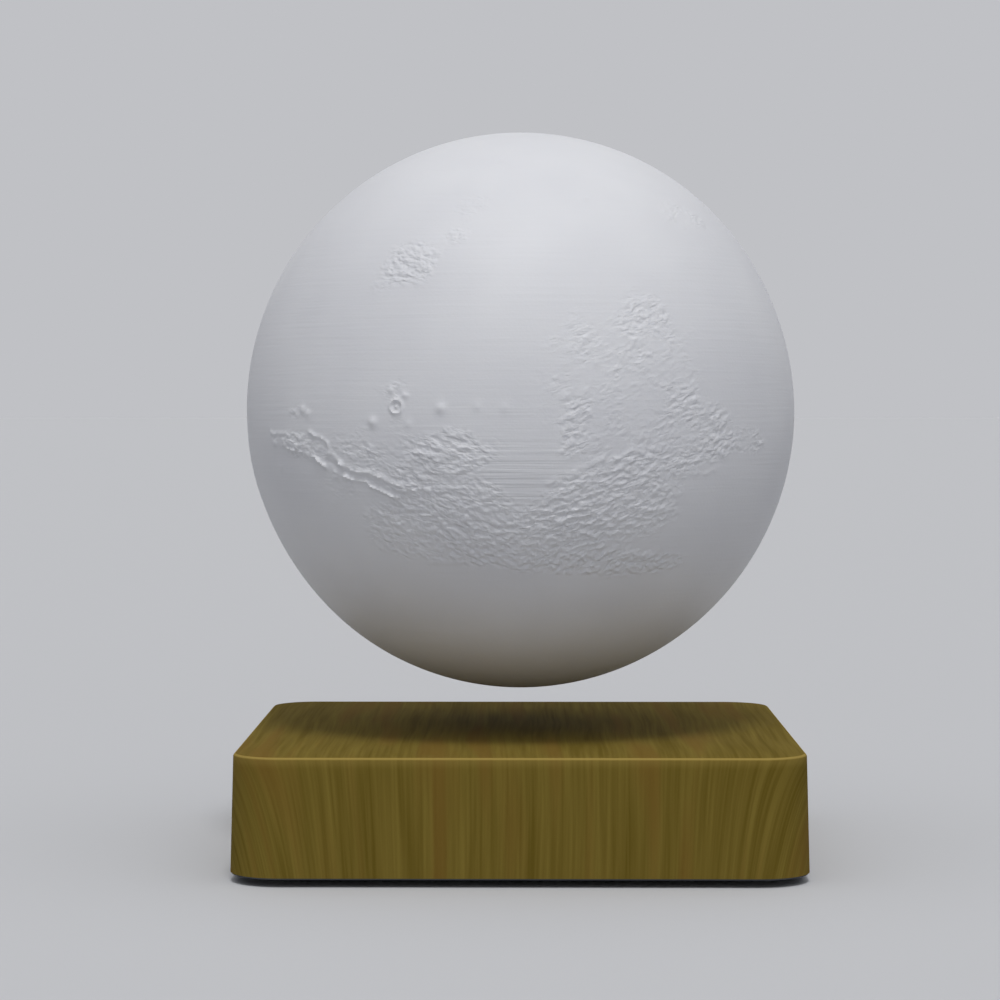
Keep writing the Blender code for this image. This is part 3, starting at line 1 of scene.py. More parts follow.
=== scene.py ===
"""The looks of the levitating globe lamp, built round its packed CAD frame.

Every length is in metres. Each sub-assembly is a class that holds its sizes, builds its meshes and
dresses them in procedural finishes. Inner parts that the frame already shows well keep their meshes.
"""

import logging
import math
from dataclasses import dataclass, field
from enum import Enum
from typing import Any, Sequence

import bmesh
import bpy
import numpy as np
from mathutils import Matrix, Vector


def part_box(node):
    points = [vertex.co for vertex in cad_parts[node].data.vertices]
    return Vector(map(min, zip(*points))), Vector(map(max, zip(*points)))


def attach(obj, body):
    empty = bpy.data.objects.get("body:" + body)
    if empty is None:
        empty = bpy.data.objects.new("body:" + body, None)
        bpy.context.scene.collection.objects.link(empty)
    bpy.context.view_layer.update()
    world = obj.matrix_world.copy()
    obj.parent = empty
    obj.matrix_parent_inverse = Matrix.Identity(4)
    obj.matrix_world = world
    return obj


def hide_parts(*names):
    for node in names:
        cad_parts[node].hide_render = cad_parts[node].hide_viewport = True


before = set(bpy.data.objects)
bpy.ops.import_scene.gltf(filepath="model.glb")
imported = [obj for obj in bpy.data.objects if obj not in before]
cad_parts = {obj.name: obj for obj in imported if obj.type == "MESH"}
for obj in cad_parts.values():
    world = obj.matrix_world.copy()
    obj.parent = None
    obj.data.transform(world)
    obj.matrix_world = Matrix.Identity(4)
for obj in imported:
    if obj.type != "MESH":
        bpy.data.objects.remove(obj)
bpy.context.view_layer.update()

Point = tuple[float, float, float]
Outline = list[tuple[float, float]]
Face = tuple[int, ...]
Places = list[tuple[int, int]]
Tree = bpy.types.NodeTree
Node = bpy.types.Node
Socket = bpy.types.NodeSocket
Piece = bpy.types.Object

LOG = logging.getLogger("lamp")
SHARP_ANGLE = math.radians(35.0)
QUARTER = math.pi / 2
CORNERS = ((1, 1), (-1, 1), (-1, -1), (1, -1))
# How far a cutter runs past what it cuts, the room round a part, and the radius of a point on the axis
OVERRUN, CLEARANCE, ON_AXIS = 0.0010, 0.0003, 1e-9
# The colour sockets of a mix node, by number
MIX_A, MIX_B, MIX_RESULT = 6, 7, 2
# The sizes of the ridges that the geometry rule takes as named inputs
RIDGE_INPUTS = ("length", "width", "lean", "seed")


# Colours and nodes


def linear(hex_colour: str) -> tuple[float, float, float, float]:
    """Turns an sRGB hex colour into the linear values that a socket takes.

    Args:
        hex_colour: The colour as "#rrggbb".

    Returns:
        Red, green, blue and full opacity.
    """
    shares = [int(hex_colour[k : k + 2], 16) / 255 for k in (1, 3, 5)]
    red, green, blue = (s / 12.92 if s <= 0.04045 else ((s + 0.055) / 1.055) ** 2.4 for s in shares)
    return red, green, blue, 1.0


def add(tree: Tree, kind: str, inputs: dict | list | None = None, **settings: Any) -> Node:
    """Adds a node with its settings and its inputs.

    Args:
        tree: The node tree that takes the node.
        kind: Blender's name for the kind of node; "ShaderNode" is left off at its start.
        inputs: A value, a node or a socket for each input, by name or number, or listed in order.
        settings: The node's own settings. "stops" sets a colour ramp's places and colours.

    Returns:
        The new node.
    """
    node = tree.nodes.new(kind if "Node" in kind else "ShaderNode" + kind)
    stops = settings.pop("stops", None)
    for name, value in settings.items():
        setattr(node, name, value)
    if stops:
        elements = node.color_ramp.elements
        while len(elements) < len(stops):
            elements.new(1.0)
        for element, (place, colour) in zip(elements, stops):
            element.position = place
            element.color = linear(colour) if isinstance(colour, str) else (colour, colour, colour, 1.0)
    named = dict(enumerate(inputs)) if isinstance(inputs, list) else inputs or {}
    for key, value in named.items():
        if isinstance(value, Node):
            value = value.outputs[0]
        if isinstance(value, Socket):
            tree.links.new(value, node.inputs[key])
        else:
            node.inputs[key].default_value = value
    return node


def looked_at(tree: Tree, *kinds: str) -> Node:
    """Tells the camera's rays, and the named kinds of ray, from all others.

    Args:
        tree: The tree that takes the nodes.
        kinds: The names of the other kinds.

    Returns:
        The node that gives 1 for these rays and 0 for the rest.
    """
    path = add(tree, "LightPath")
    seen = path.outputs["Is Camera Ray"]
    for kind in kinds:
        seen = add(tree, "Math", [seen, path.outputs[kind]], operation="MAXIMUM")
    return seen


# The relief's pattern


@dataclass(frozen=True)
class Ridges:
    """How the printed relief's fine ridges lie: nearly level, wavy and leaning away from the middle."""

    length: float = 0.0021
    width: float = 0.00088
    lean: float = 0.26
    pebble: float = 0.0011
    patch: float = 0.0085
    seed: float = 3.7
    bend_scale: float = 0.35
    bend: Point = (2.2, 2.2, 3.6)
    ridge_share: float = 0.72
    pebble_share: float = 0.50
    valley: float = 0.42
    crest: float = 0.82
    patch_share: float = 1.6
    patch_level: float = 0.80
    bare_below: float = 0.20
    full_above: float = 0.85
    onset: float = 5.0

    def flow(self, tree: Tree, spot: Socket, sizes: dict[str, Any]) -> Node:
        """Builds the coordinates that the ridges lie along: stretched, leaning and bent.

        Args:
            tree: The tree that takes the nodes.
            spot: The place on the piece.
            sizes: The value or socket of each size, by the names of this class's fields.

        Returns:
            The node that gives the coordinates, counted in ridges.
        """
        x, y, z = add(tree, "SeparateXYZ", [spot]).outputs
        side = add(tree, "Math", [x], operation="ABSOLUTE")
        leaning = add(tree, "Math", [side, sizes["lean"]], operation="MULTIPLY")
        level = add(tree, "Math", [z, leaning], operation="SUBTRACT")
        ways = ((x, "length"), (y, "length"), (level, "width"))
        steps = [add(tree, "Math", [way, sizes[size]], operation="DIVIDE") for way, size in ways]
        straight = add(tree, "CombineXYZ", steps)
        wave = {"Vector": straight, "Scale": self.bend_scale, "Detail": 1.0, "W": sizes["seed"]}
        bend = add(tree, "TexNoise", wave, noise_dimensions="4D").outputs["Color"]
        return add(tree, "VectorMath", [bend, self.bend, straight], operation="MULTIPLY_ADD")

    def presence(self, tree: Tree, rough: Socket, patches: Node) -> Node:
        """Builds how much of the ridges shows: more on rougher ground, and less between its patches.

        Args:
            tree: The tree that takes the nodes.
            rough: How rough the ground is there.
            patches: The noise that breaks the ground up.

        Returns:
            The node that gives the share of the ridges' height.
        """
        lower = add(tree, "Math", [rough, self.patch_level], operation="SUBTRACT")
        mottled = add(tree, "Math", [patches, self.patch_share, lower], operation="MULTIPLY_ADD")
        limits = {"From Min": self.bare_below, "From Max": self.full_above}
        present = add(tree, "MapRange", {"Value": mottled, **limits}, interpolation_type="SMOOTHSTEP")
        near = add(tree, "Math", [rough, self.onset], operation="MULTIPLY", use_clamp=True)
        gain = add(tree, "Math", [rough, 1.0], operation="MAXIMUM")
        for share in (near, gain):
            present = add(tree, "Math", [present, share], operation="MULTIPLY")
        return present

    def pattern(self, tree: Tree, spot: Socket, rough: Socket, sizes: dict[str, Any]) -> Node:
        """Builds the ridges' height, from about -0.5 to 1, in a shader or a geometry tree.

        Args:
            tree: The tree that takes the nodes.
            spot: The place on the piece.
            rough: How rough the ground is there; above 1 its ridges also grow higher.
            sizes: The value or socket of each size, by the names of this class's fields.

        Returns:
            The node that gives the height.
        """
        layers = []
        flow, pebble, patch = self.flow(tree, spot, sizes), 1 / self.pebble, 1 / self.patch
        for vector, scale, detail in ((flow, 1.0, 1.0), (spot, pebble, 1.0), (spot, patch, 2.0)):
            grain = {"Vector": vector, "Scale": scale, "Detail": detail, "W": sizes["seed"]}
            layers.append(add(tree, "TexNoise", grain, noise_dimensions="4D"))
        ridges, pebbles, patches = layers
        part = add(tree, "Math", [pebbles, self.pebble_share], operation="MULTIPLY")
        both = add(tree, "Math", [ridges, self.ridge_share, part], operation="MULTIPLY_ADD")
        limits = {"From Min": self.valley, "From Max": self.crest, "To Min": -0.5, "To Max": 1.0}
        height = add(tree, "MapRange", {"Value": both, **limits})
        return add(tree, "Math", [self.presence(tree, rough, patches), height], operation="MULTIPLY")


RIDGES = Ridges()


# Finishes


@dataclass(frozen=True)
class Finish:
    """A finish of a real material: its name, its colour and how rough its surface is."""

    name: str
    colour: str
    roughness: float

    def material(self) -> bpy.types.Material:
        """Gives the finish's material, and makes it the first time.

        Returns:
            The Blender material of this finish.
        """
        known = bpy.data.materials.get(self.name)
        if known:
            return known
        material = bpy.data.materials.new(self.name)
        material.use_nodes = True
        tree = material.node_tree
        tree.nodes.clear()
        spot = add(tree, "TexCoord").outputs["Object"]
        add(tree, "OutputMaterial", {"Surface": self.shade(tree, spot)})
        return material

    def shade(self, tree: Tree, spot: Socket) -> Node:
        """Builds the finish's shader; each kind of finish has its own."""
        raise NotImplementedError

    def over(self, tree: Tree, tone: Any, *layers: tuple[Any, str]) -> Socket:
        """Lays colours over a tone.

        Args:
            tree: The tree that takes the nodes.
            tone: What gives the colour below them.
            layers: The share of each colour and the colour, from the lowest to the topmost.

        Returns:
            The mixed colour.
        """
        for share, colour in layers:
            mixed = {0: share, MIX_A: tone, MIX_B: linear(colour)}
            tone = add(tree, "Mix", mixed, data_type="RGBA").outputs[MIX_RESULT]
        return tone

    def surface(self, tree: Tree, tone: Any, bumps: Sequence[tuple], inputs: dict | None = None) -> Node:
        """Builds the shader that every finish ends in.

        Args:
            tree: The tree that takes the nodes.
            tone: What gives the colour.
            bumps: The height, depth and strength of each bump, from the first to the topmost.
            inputs: Other inputs of the shader, by name.

        Returns:
            The shader.
        """
        shape: dict[str, Any] = {}
        for height, depth, strength in bumps:
            bump = {"Height": height, "Distance": depth, "Strength": strength, **shape}
            shape = {"Normal": add(tree, "Bump", bump)}
        base = {"Base Color": tone, "Roughness": self.roughness}
        return add(tree, "BsdfPrincipled", {**base, **shape, **(inputs or {})})


@dataclass(frozen=True)
class PrintedPla(Finish):
    """White PLA, printed in thin layers: a soft, slightly translucent white with fine level lines."""

    shadow: str = "#dfe0e5"
    line_pitch: float = 0.0009
    line_length: float = 0.0300
    line_depth: float = 0.00012
    grain_size: float = 0.0007
    grain_depth: float = 0.00003
    ridge_depth: float = 0.00015
    cloud_scale: float = 30.0
    glow: float = 0.12
    glow_reach: float = 0.0012
    glow_colour: Point = (1.0, 0.95, 0.85)

    def shade(self, tree: Tree, spot: Socket) -> Node:
        """Builds a soft white with level print lines.

        Real layers are 0.2 mm high, too fine to show here, so the lines are drawn about 0.9 mm apart.
        The attribute "lines" says where they stand out.

        Args:
            tree: The tree that takes the nodes.
            spot: The place on the piece.

        Returns:
            The shader.
        """
        stretch = (1 / self.line_length, 1 / self.line_length, 1 / self.line_pitch)
        stretched = add(tree, "Mapping", {0: spot, "Scale": stretch})
        layers = add(tree, "TexNoise", {"Vector": stretched, "Scale": 1.0, "Detail": 1.5})
        shares = [add(tree, "Attribute", attribute_name=name) for name in ("lines", "rough")]
        here, rough = (share.outputs["Fac"] for share in shares)
        lines = add(tree, "Math", [layers, here], operation="MULTIPLY")
        grain = add(tree, "TexNoise", {"Vector": spot, "Scale": 1 / self.grain_size, "Detail": 2.0})
        ridges = RIDGES.pattern(tree, spot, rough, vars(RIDGES))
        cloud = add(tree, "TexNoise", {"Vector": spot, "Scale": self.cloud_scale, "Detail": 2.0})
        tone = add(tree, "ValToRGB", [cloud], stops=[(0.3, self.shadow), (0.7, self.colour)])
        depths = ((grain, self.grain_depth), (lines, self.line_depth), (ridges, self.ridge_depth))
        soft = {"Subsurface Weight": self.glow, "Subsurface Scale": self.glow_reach}
        soft["Subsurface Radius"] = self.glow_colour
        return self.surface(tree, tone, [(height, depth, 1.0) for height, depth in depths], soft)


@dataclass(frozen=True)
class WoodFilm(Finish):
    """A printed wood-grain film over moulded plastic: satin, olive brown, with long uneven streaks."""

    dark: str = "#685820"
    light: str = "#817033"
    red: str = "#745826"
    # A paler colour painted on the rounded top edge and the band below it as a highlight
    edge_highlight: str = "#a8914f"
    # The colour of a grey line along the lowest edge
    bare: str = "#5a5f66"
    band_width: float = 0.0080
    streak_width: float = 0.0022
    fibre_width: float = 0.0008
    band_share: float = 0.35
    streak_share: float = 0.40
    fibre_share: float = 0.25
    grain_length: float = 0.1100
    wander: float = 0.0030
    wander_scale: float = 16.0
    # Below this height the lowest edge is grey
    lowest_edge_top: float = 0.00235
    # Heights, widths and strengths of the painted highlight on the rounded top edge and the band below it
    fade_low: float = 0.0296
    edge_low: float = 0.0321
    edge_high: float = 0.0327
    rise_width: float = 0.0003
    fall_width: float = 0.00008
    edge_highlight_peak: float = 0.8
    band_highlight_peak: float = 0.28
    fibre_depth: float = 0.00004
    gloss: float = 0.02

    def print_layers(self, tree: Tree) -> list[Node]:
        """Builds the film's bands, streaks and fibres from its UV map: U runs across the grain.

        Printed fibres are 0.2 mm wide, too fine to show here, so they are drawn 0.8 mm wide.

        Args:
            tree: The tree that takes the nodes.

        Returns:
            The bands, the streaks and the fibres.
        """
        film = add(tree, "UVMap", uv_map="film")
        wander = add(tree, "TexNoise", {"Vector": film, "Scale": self.wander_scale, "Detail": 1.0})
        drift = add(tree, "VectorMath", [wander.outputs["Color"], (0.5, 0.5, 0.5)], operation="SUBTRACT")
        warped = add(tree, "VectorMath", [drift, (self.wander, 0.0, 0.0), film], operation="MULTIPLY_ADD")
        layers = []
        for width, shortening, detail in (
            (self.band_width, 1.0, 1.0),
            (self.streak_width, 1.5, 2.0),
            (self.fibre_width, 3.0, 1.0),
        ):
            stretch = (1 / width, shortening / self.grain_length, 1.0)
            scaled = add(tree, "Mapping", {0: warped, "Scale": stretch})
            grain = {"Vector": scaled, "Scale": 1.0, "Detail": detail}
            layers.append(add(tree, "TexNoise", grain, noise_dimensions="2D"))
        return layers

    def edges(self, tree: Tree, spot: Socket) -> tuple[Node, Node]:
        """Finds where the top edge and the band below it get a painted highlight, and the grey lowest edge.

        Args:
            tree: The tree that takes the nodes.
            spot: The place on the piece.

        Returns:
            The share of painted highlight and the share of the grey lowest edge.
        """
        height = add(tree, "SeparateXYZ", [spot]).outputs["Z"]
        shares = []
        # Painted highlight: full on the rounded top edge, fading in over the band below it, none on the flat
        # top
        for start, end, low, high, blend in (
            (self.edge_low, self.edge_low + self.rise_width, 0.0, 1.0, "LINEAR"),
            (self.edge_high, self.edge_high + self.fall_width, self.edge_highlight_peak, 0.0, "LINEAR"),
            (self.fade_low, self.edge_low, 0.0, self.band_highlight_peak, "SMOOTHSTEP"),
        ):
            limits = {"From Min": start, "From Max": end, "To Min": low, "To Max": high}
            shares.append(add(tree, "MapRange", {"Value": height, **limits}, interpolation_type=blend))
        rise, fall, fade = shares
        line = add(tree, "Math", [rise, fade], operation="MAXIMUM")
        edge_highlight = add(tree, "Math", [line, fall], operation="MULTIPLY")
        # A grey line along the lowest edge
        bare = add(tree, "Math", [height, self.lowest_edge_top], operation="LESS_THAN")
        return edge_highlight, bare

    def shade(self, tree: Tree, spot: Socket) -> Node:
        """Builds the film: its print, a painted highlight along its top edge, a grey lowest edge, and a satin
        surface.

        Its gloss is set low, because pale surroundings would veil the print, as no dark room does.

        Args:
            tree: The tree that takes the nodes.
            spot: The place on the piece.

        Returns:
            The shader.
        """
        bands, streaks, fibres = self.print_layers(tree)
        grain = add(tree, "Math", [bands, self.band_share], operation="MULTIPLY")
        for layer, share in ((streaks, self.streak_share), (fibres, self.fibre_share)):
            grain = add(tree, "Math", [layer, share, grain], operation="MULTIPLY_ADD")
        browns = [(0.35, self.dark), (0.48, self.colour), (0.64, self.light)]
        brown = add(tree, "ValToRGB", [grain], stops=browns)
        reds = add(tree, "ValToRGB", [bands], stops=[(0.53, 0.0), (0.70, 0.6)])
        edge_highlight, bare = self.edges(tree, spot)
        # The top edge's paler colour is a painted highlight
        tone = self.over(tree, brown, (reds, self.red), (edge_highlight, self.edge_highlight), (bare, self.bare))
        return self.surface(tree, tone, [(fibres, self.fibre_depth, 0.6)], {"Specular IOR Level": self.gloss})


@dataclass(frozen=True)
class Moulded(Finish):
    """Injection-moulded plastic, epoxy or rubber: an even colour with a fine spark-eroded grain."""

    grain_size: float = 0.0006
    grain_depth: float = 0.00003
    mottle: float = 0.12
    sheen_change: float = 0.06
    cloud_scale: float = 60.0

    def shade(self, tree: Tree, spot: Socket) -> Node:
        """Builds an even colour with a fine grain.

        A mould's grain is about 0.1 mm, too fine to show here, so it is drawn 0.6 mm wide.

        Args:
            tree: The tree that takes the nodes.
            spot: The place on the piece.

        Returns:
            The shader.
        """
        grain = add(tree, "TexNoise", {"Vector": spot, "Scale": 1 / self.grain_size, "Detail": 3.0})
        cloud = add(tree, "TexNoise", {"Vector": spot, "Scale": self.cloud_scale, "Detail": 2.0})
        rough, bright = (
            add(tree, "MapRange", {"Value": cloud, "To Min": middle - change, "To Max": middle + change})
            for middle, change in ((self.roughness, self.sheen_change), (1.0, self.mottle))
        )
        tone = add(tree, "HueSaturation", {"Value": bright, "Color": linear(self.colour)})
        return self.surface(tree, tone, [(grain, self.grain_depth, 1.0)], {"Roughness": rough})


@dataclass(frozen=True)
class PlatedMetal(Finish):
    """Zinc or nickel plate on steel: a soft shine with faint clouds and fine brushing."""

    tint: str = "#ffffff"
    cloud_scale: float = 180.0
    duller: float = 0.08
    shinier: float = 0.05
    brushing: Point = (200.0, 2500.0, 2500.0)
    brush_depth: float = 0.00001

    def shade(self, tree: Tree, spot: Socket) -> Node:
        """Builds a metal with faint clouds of tint, as a plating bath leaves.

        Args:
            tree: The tree that takes the nodes.
            spot: The place on the piece.

        Returns:
            The shader.
        """
        cloud = add(tree, "TexNoise", {"Vector": spot, "Scale": self.cloud_scale, "Detail": 3.0})
        tone = add(tree, "ValToRGB", [cloud], stops=[(0.35, self.colour), (0.70, self.tint)])
        limits = {"To Min": self.roughness - self.shinier, "To Max": self.roughness + self.duller}
        rough = add(tree, "MapRange", {"Value": cloud, **limits})
        stretched = add(tree, "Mapping", {0: spot, "Scale": self.brushing})
        brushed = add(tree, "TexNoise", {"Vector": stretched, "Scale": 1.0})
        metal = {"Metallic": 1.0, "Roughness": rough}
        return self.surface(tree, tone, [(brushed, self.brush_depth, 0.5)], metal)


@dataclass(frozen=True)
class EnamelledCopper(Finish):
    """Enamelled copper wire: warm and shiny, painted dark between its turns as shade and pale on each as a
    highlight.
    """

    # Painted shade in the grooves between turns, and a painted highlight on each turn
    groove: str = "#6b3216"
    shine: str = "#d98a55"
    wave_scale: float = 100.0
    groove_depth: float = 0.0001

    def shade(self, tree: Tree, spot: Socket) -> Node:
        """Builds copper with a groove between its turns, painted dark there as shade, and a painted highlight
        on each turn.

        The wire is 0.3 mm thick; at this wave scale its turns are drawn about 3 mm apart, so that they
        show.

        Args:
            tree: The tree that takes the nodes.
            spot: The place on the piece.

        Returns:
            The shader.
        """
        wave = {"Vector": spot, "Scale": self.wave_scale, "Distortion": 0.4, "Detail": 1.0}
        turns = add(tree, "TexWave", wave, bands_direction="Z").outputs["Fac"]
        # Dark painted shade between the turns, and a pale painted highlight on each turn
        coppers = [(0.0, self.groove), (0.45, self.colour), (1.0, self.shine)]
        tone = add(tree, "ValToRGB", [turns], stops=coppers)
        return self.surface(tree, tone, [(turns, self.groove_depth, 0.8)], {"Metallic": 0.9})


@dataclass(frozen=True)
class CircuitBoard(Finish):
    """A circuit board: glossy solder mask over faint tracks, and the parts that stand on it."""

    parts_colour: str = "#1c1c1e"
    mask_top: float = 0.0
    track: str = "#0d5c2e"
    cell_scale: float = 220.0
    track_depth: float = 0.00004

    def shade(self, tree: Tree, spot: Socket) -> Node:
        """Builds solder mask below a height and the colour of moulded parts above it.

        Tracks are 0.3 mm wide, and are drawn about 1 mm wide so that they show.

        Args:
            tree: The tree that takes the nodes.
            spot: The place on the piece.

        Returns:
            The shader.
        """
        height = add(tree, "SeparateXYZ", [spot]).outputs["Z"]
        above = add(tree, "Math", [height, self.mask_top], operation="GREATER_THAN")
        cells = {"Vector": spot, "Scale": self.cell_scale}
        tracks = add(tree, "TexVoronoi", cells, feature="DISTANCE_TO_EDGE").outputs["Distance"]
        mask = add(tree, "ValToRGB", [tracks], stops=[(0.08, self.track), (0.14, self.colour)])
        tone = self.over(tree, mask, (above, self.parts_colour))
        return self.surface(tree, tone, [(tracks, self.track_depth, 0.5)])


@dataclass(frozen=True)
class ShrinkSleeve(Finish):
    """A capacitor's glossy shrink sleeve, with painted shine on its folds and its bare aluminium top."""

    sleeve_top: float = 0.0
    # Painted shine on the sleeve's folds
    shine: str = "#2b3770"
    metal: str = "#c8cacc"
    fold_scale: float = 400.0
    fold_depth: float = 0.00003

    def shade(self, tree: Tree, spot: Socket) -> Node:
        """Builds a sleeve below a height and bare aluminium above it.

        Args:
            tree: The tree that takes the nodes.
            spot: The place on the piece.

        Returns:
            The shader.
        """
        height = add(tree, "SeparateXYZ", [spot]).outputs["Z"]
        above = add(tree, "Math", [height, self.sleeve_top], operation="GREATER_THAN")
        folds = add(tree, "TexNoise", {"Vector": spot, "Scale": self.fold_scale, "Detail": 1.0})
        # The paler blue where the fold noise is high is painted shine
        sleeve = add(tree, "ValToRGB", [folds], stops=[(0.3, self.colour), (0.8, self.shine)])
        tone = self.over(tree, sleeve, (above, self.metal))
        return self.surface(tree, tone, [(folds, self.fold_depth, 0.5)], {"Metallic": above})


@dataclass(frozen=True)
class StudioPaper(Finish):
    """Pale studio paper: the camera sees it pale, and it sends little light back up at the lamp."""

    bounce: str = "#b0b1b4"

    def shade(self, tree: Tree, spot: Socket) -> Node:
        """Builds a plain matt paper that looks pale, but is darker to the light that bounces off it."""
        seen = looked_at(tree, "Is Glossy Ray", "Is Transmission Ray")
        return self.surface(tree, self.over(tree, linear(self.bounce), (seen, self.colour)), ())


PLA = PrintedPla("printed_white_pla", "#e6e7eb", 0.55)
WOOD_FILM = WoodFilm("printed_wood_film", "#75642b", 0.75)
BLACK_ABS = Moulded("moulded_black_abs", "#1a1a1b", 0.48)
WHITE_ABS = Moulded("moulded_white_abs", "#e3e2de", 0.42, mottle=0.02)
EPOXY = Moulded("moulded_black_epoxy", "#202022", 0.38)
RUBBER = Moulded("moulded_black_rubber", "#161616", 0.75, grain_depth=0.00005)
ZINC = PlatedMetal("zinc_plated_steel", "#b9bbbe", 0.34, tint="#cfcdc4")
NICKEL = PlatedMetal("nickel_plate", "#b8b2a6", 0.22, tint="#c9c5bb")
COPPER_WIRE = EnamelledCopper("enamelled_copper_wire", "#b8683a", 0.30)
COPPER_FOIL = PlatedMetal("copper_foil", "#c0744a", 0.32, tint="#d08a60")
RED_WIRE = Moulded("red_wire_insulation", "#a8201a", 0.35, grain_depth=0.00001)
BLACK_WIRE = Moulded("black_wire_insulation", "#181818", 0.35, grain_depth=0.00001)
GREY_WIRE = Moulded("grey_wire_insulation", "#5c5c60", 0.35, grain_depth=0.00001)
PAPER = StudioPaper("pale_studio_paper", "#cdced1", 0.8)


# Meshes


def arc(centre: tuple[float, float], radius: float, first: float, last: float, steps: int) -> Outline:
    """Draws a part of a circle in straight steps, from one angle to another, both in radians."""
    angles = [first + (last - first) * k / steps for k in range(steps + 1)]
    return [(centre[0] + radius * math.cos(a), centre[1] + radius * math.sin(a)) for a in angles]


def circle(radius: float, sides: int, centre: tuple[float, float] = (0.0, 0.0)) -> Outline:
    """Draws a whole circle as an outline of straight steps."""
    return arc(centre, radius, 0.0, math.tau, sides)[:-1]


def rounded_square(half: float, radius: float, corner_steps: int, side_steps: int = 1) -> Outline:
    """Draws a square with round corners, counter-clockwise.

    Args:
        half: Half its width.
        radius: Its corners' radius.
        corner_steps: Steps in each corner.
        side_steps: Steps along each straight side.

    Returns:
        The outline's points.
    """
    middles = corners(half - radius)
    turns = [arc(middles[k][:2], radius, QUARTER * k, QUARTER * (k + 1), corner_steps) for k in range(4)]
    points: Outline = []
    for turn, after in zip(turns, turns[1:] + turns[:1]):
        (x, y), (end_x, end_y) = turn[-1], after[0]
        shares = [k / side_steps for k in range(1, side_steps)]
        points += turn + [(x + s * (end_x - x), y + s * (end_y - y)) for s in shares]
    return points


def corners(reach_x: float, reach_y: float | None = None, z: float = 0.0) -> list[Point]:
    """Gives the four corners of a rectangle round the Z axis, whose sides lie at a reach from it."""
    return [(a * reach_x, b * (reach_x if reach_y is None else reach_y), z) for a, b in CORNERS]


def at_height(outline: Outline, z: float, place: Matrix = Matrix.Identity(4)) -> list[Point]:
    """Lifts a flat outline to a height, and moves it to a place."""
    return [tuple(place @ Vector((x, y, z))) for x, y in outline]


class Draft:
    """The points and faces of a piece while it is being built."""

    def __init__(self) -> None:
        """Starts with no points and no faces."""
        self.points: list[Point] = []
        self.faces: list[Face] = []

    def join(self, rings: Sequence[Sequence[Point]], closed: bool = False) -> "Draft":
        """Joins rings of points in order by bands of faces; a ring may be one point.

        Args:
            rings: The rings. On an outer wall each lies above the one before.
            closed: Whether the last ring joins the first; if not, both ends get a face.

        Returns:
            The draft itself.
        """
        made: list[range] = []
        for ring in rings:
            made.append(range(len(self.points), len(self.points) + len(ring)))
            self.points.extend(ring)
        for low, high in zip(made, made[1:] + (made[:1] if closed else [])):
            count = max(len(low), len(high))
            for k in range(count if count > 1 else 0):
                after = (k + 1) % count
                ends = ((low, k), (low, after), (high, after), (high, k))
                self.faces.append(tuple(dict.fromkeys(ring[j % len(ring)] for ring, j in ends)))
        if not closed:
            self.faces += [tuple(reversed(made[0])), tuple(made[-1])]
        return self

    def revolve(self, profile: Outline, sides: int, place: Matrix = Matrix.Identity(4)) -> "Draft":
        """Turns a profile round the Z axis into a closed solid.

        Args:
            profile: Radius and height of each corner; it starts and ends on the axis or closes on itself.
            sides: How many steps a turn has.
            place: Where the solid goes.

        Returns:
            The draft itself.
        """
        rings = []
        for radius, height in profile:
            outline = circle(radius, sides) if radius > ON_AXIS else [(0.0, 0.0)]
            rings.append(at_height(outline, height, place))
        return self.join(rings, closed=True)

    def piece(self, name: str) -> Piece:
        """Makes the mesh object, with its faces turned outwards.

        Args:
            name: The piece's name.

        Returns:
            The new object, at the origin.
        """
        mesh = bpy.data.meshes.new(name)
        mesh.from_pydata(self.points, [], self.faces)
        bm = bmesh.new()
        bm.from_mesh(mesh)
        bmesh.ops.recalc_face_normals(bm, faces=bm.faces)
        bm.to_mesh(mesh)
        bm.free()
        return linked(name, mesh)


def in_scene(name: str, data: bpy.types.ID) -> Piece:
    """Makes an object of a mesh, a light or a camera, and puts it in the scene.

    Args:
        name: The object's name.
        data: What it shows.

    Returns:
        The object, at the origin.
    """
    obj = bpy.data.objects.new(name, data)
    bpy.context.scene.collection.objects.link(obj)
    return obj


def linked(name: str, mesh: bpy.types.Mesh) -> Piece:
    """Makes a smooth-shaded object of a mesh, with its real edges kept sharp.

    Args:
        name: The object's name.
        mesh: Its mesh.

    Returns:
        The object, at the origin.
    """
    mesh.shade_smooth()
    mesh.set_sharp_from_angle(angle=SHARP_ANGLE)
    return in_scene(name, mesh)


def mark(mesh: bpy.types.Mesh, label: str, values: np.ndarray) -> None:
    """Gives each point of a mesh its own value or vector, as an attribute.

    Args:
        mesh: The mesh.
        label: The attribute's name.
        values: A number or a vector for each point.
    """
    kind, key = ("FLOAT", "value") if values.ndim == 1 else ("FLOAT_VECTOR", "vector")
    attribute = mesh.attributes.new(label, kind, "POINT")
    attribute.data.foreach_set(key, values.astype(np.float32).ravel())


def baked(obj: Piece, name: str) -> Piece:
    """Turns an object's evaluated shape into a plain mesh object and removes the first.

    Args:
        obj: The object with its modifiers.
        name: The name of the plain one.

    Returns:
        The plain mesh object.
    """
    bpy.context.view_layer.update()
    graph = bpy.context.evaluated_depsgraph_get()
    mesh = bpy.data.meshes.new_from_object(obj.evaluated_get(graph))
    bpy.data.objects.remove(obj)
    mesh.name = name
    return linked(name, mesh)


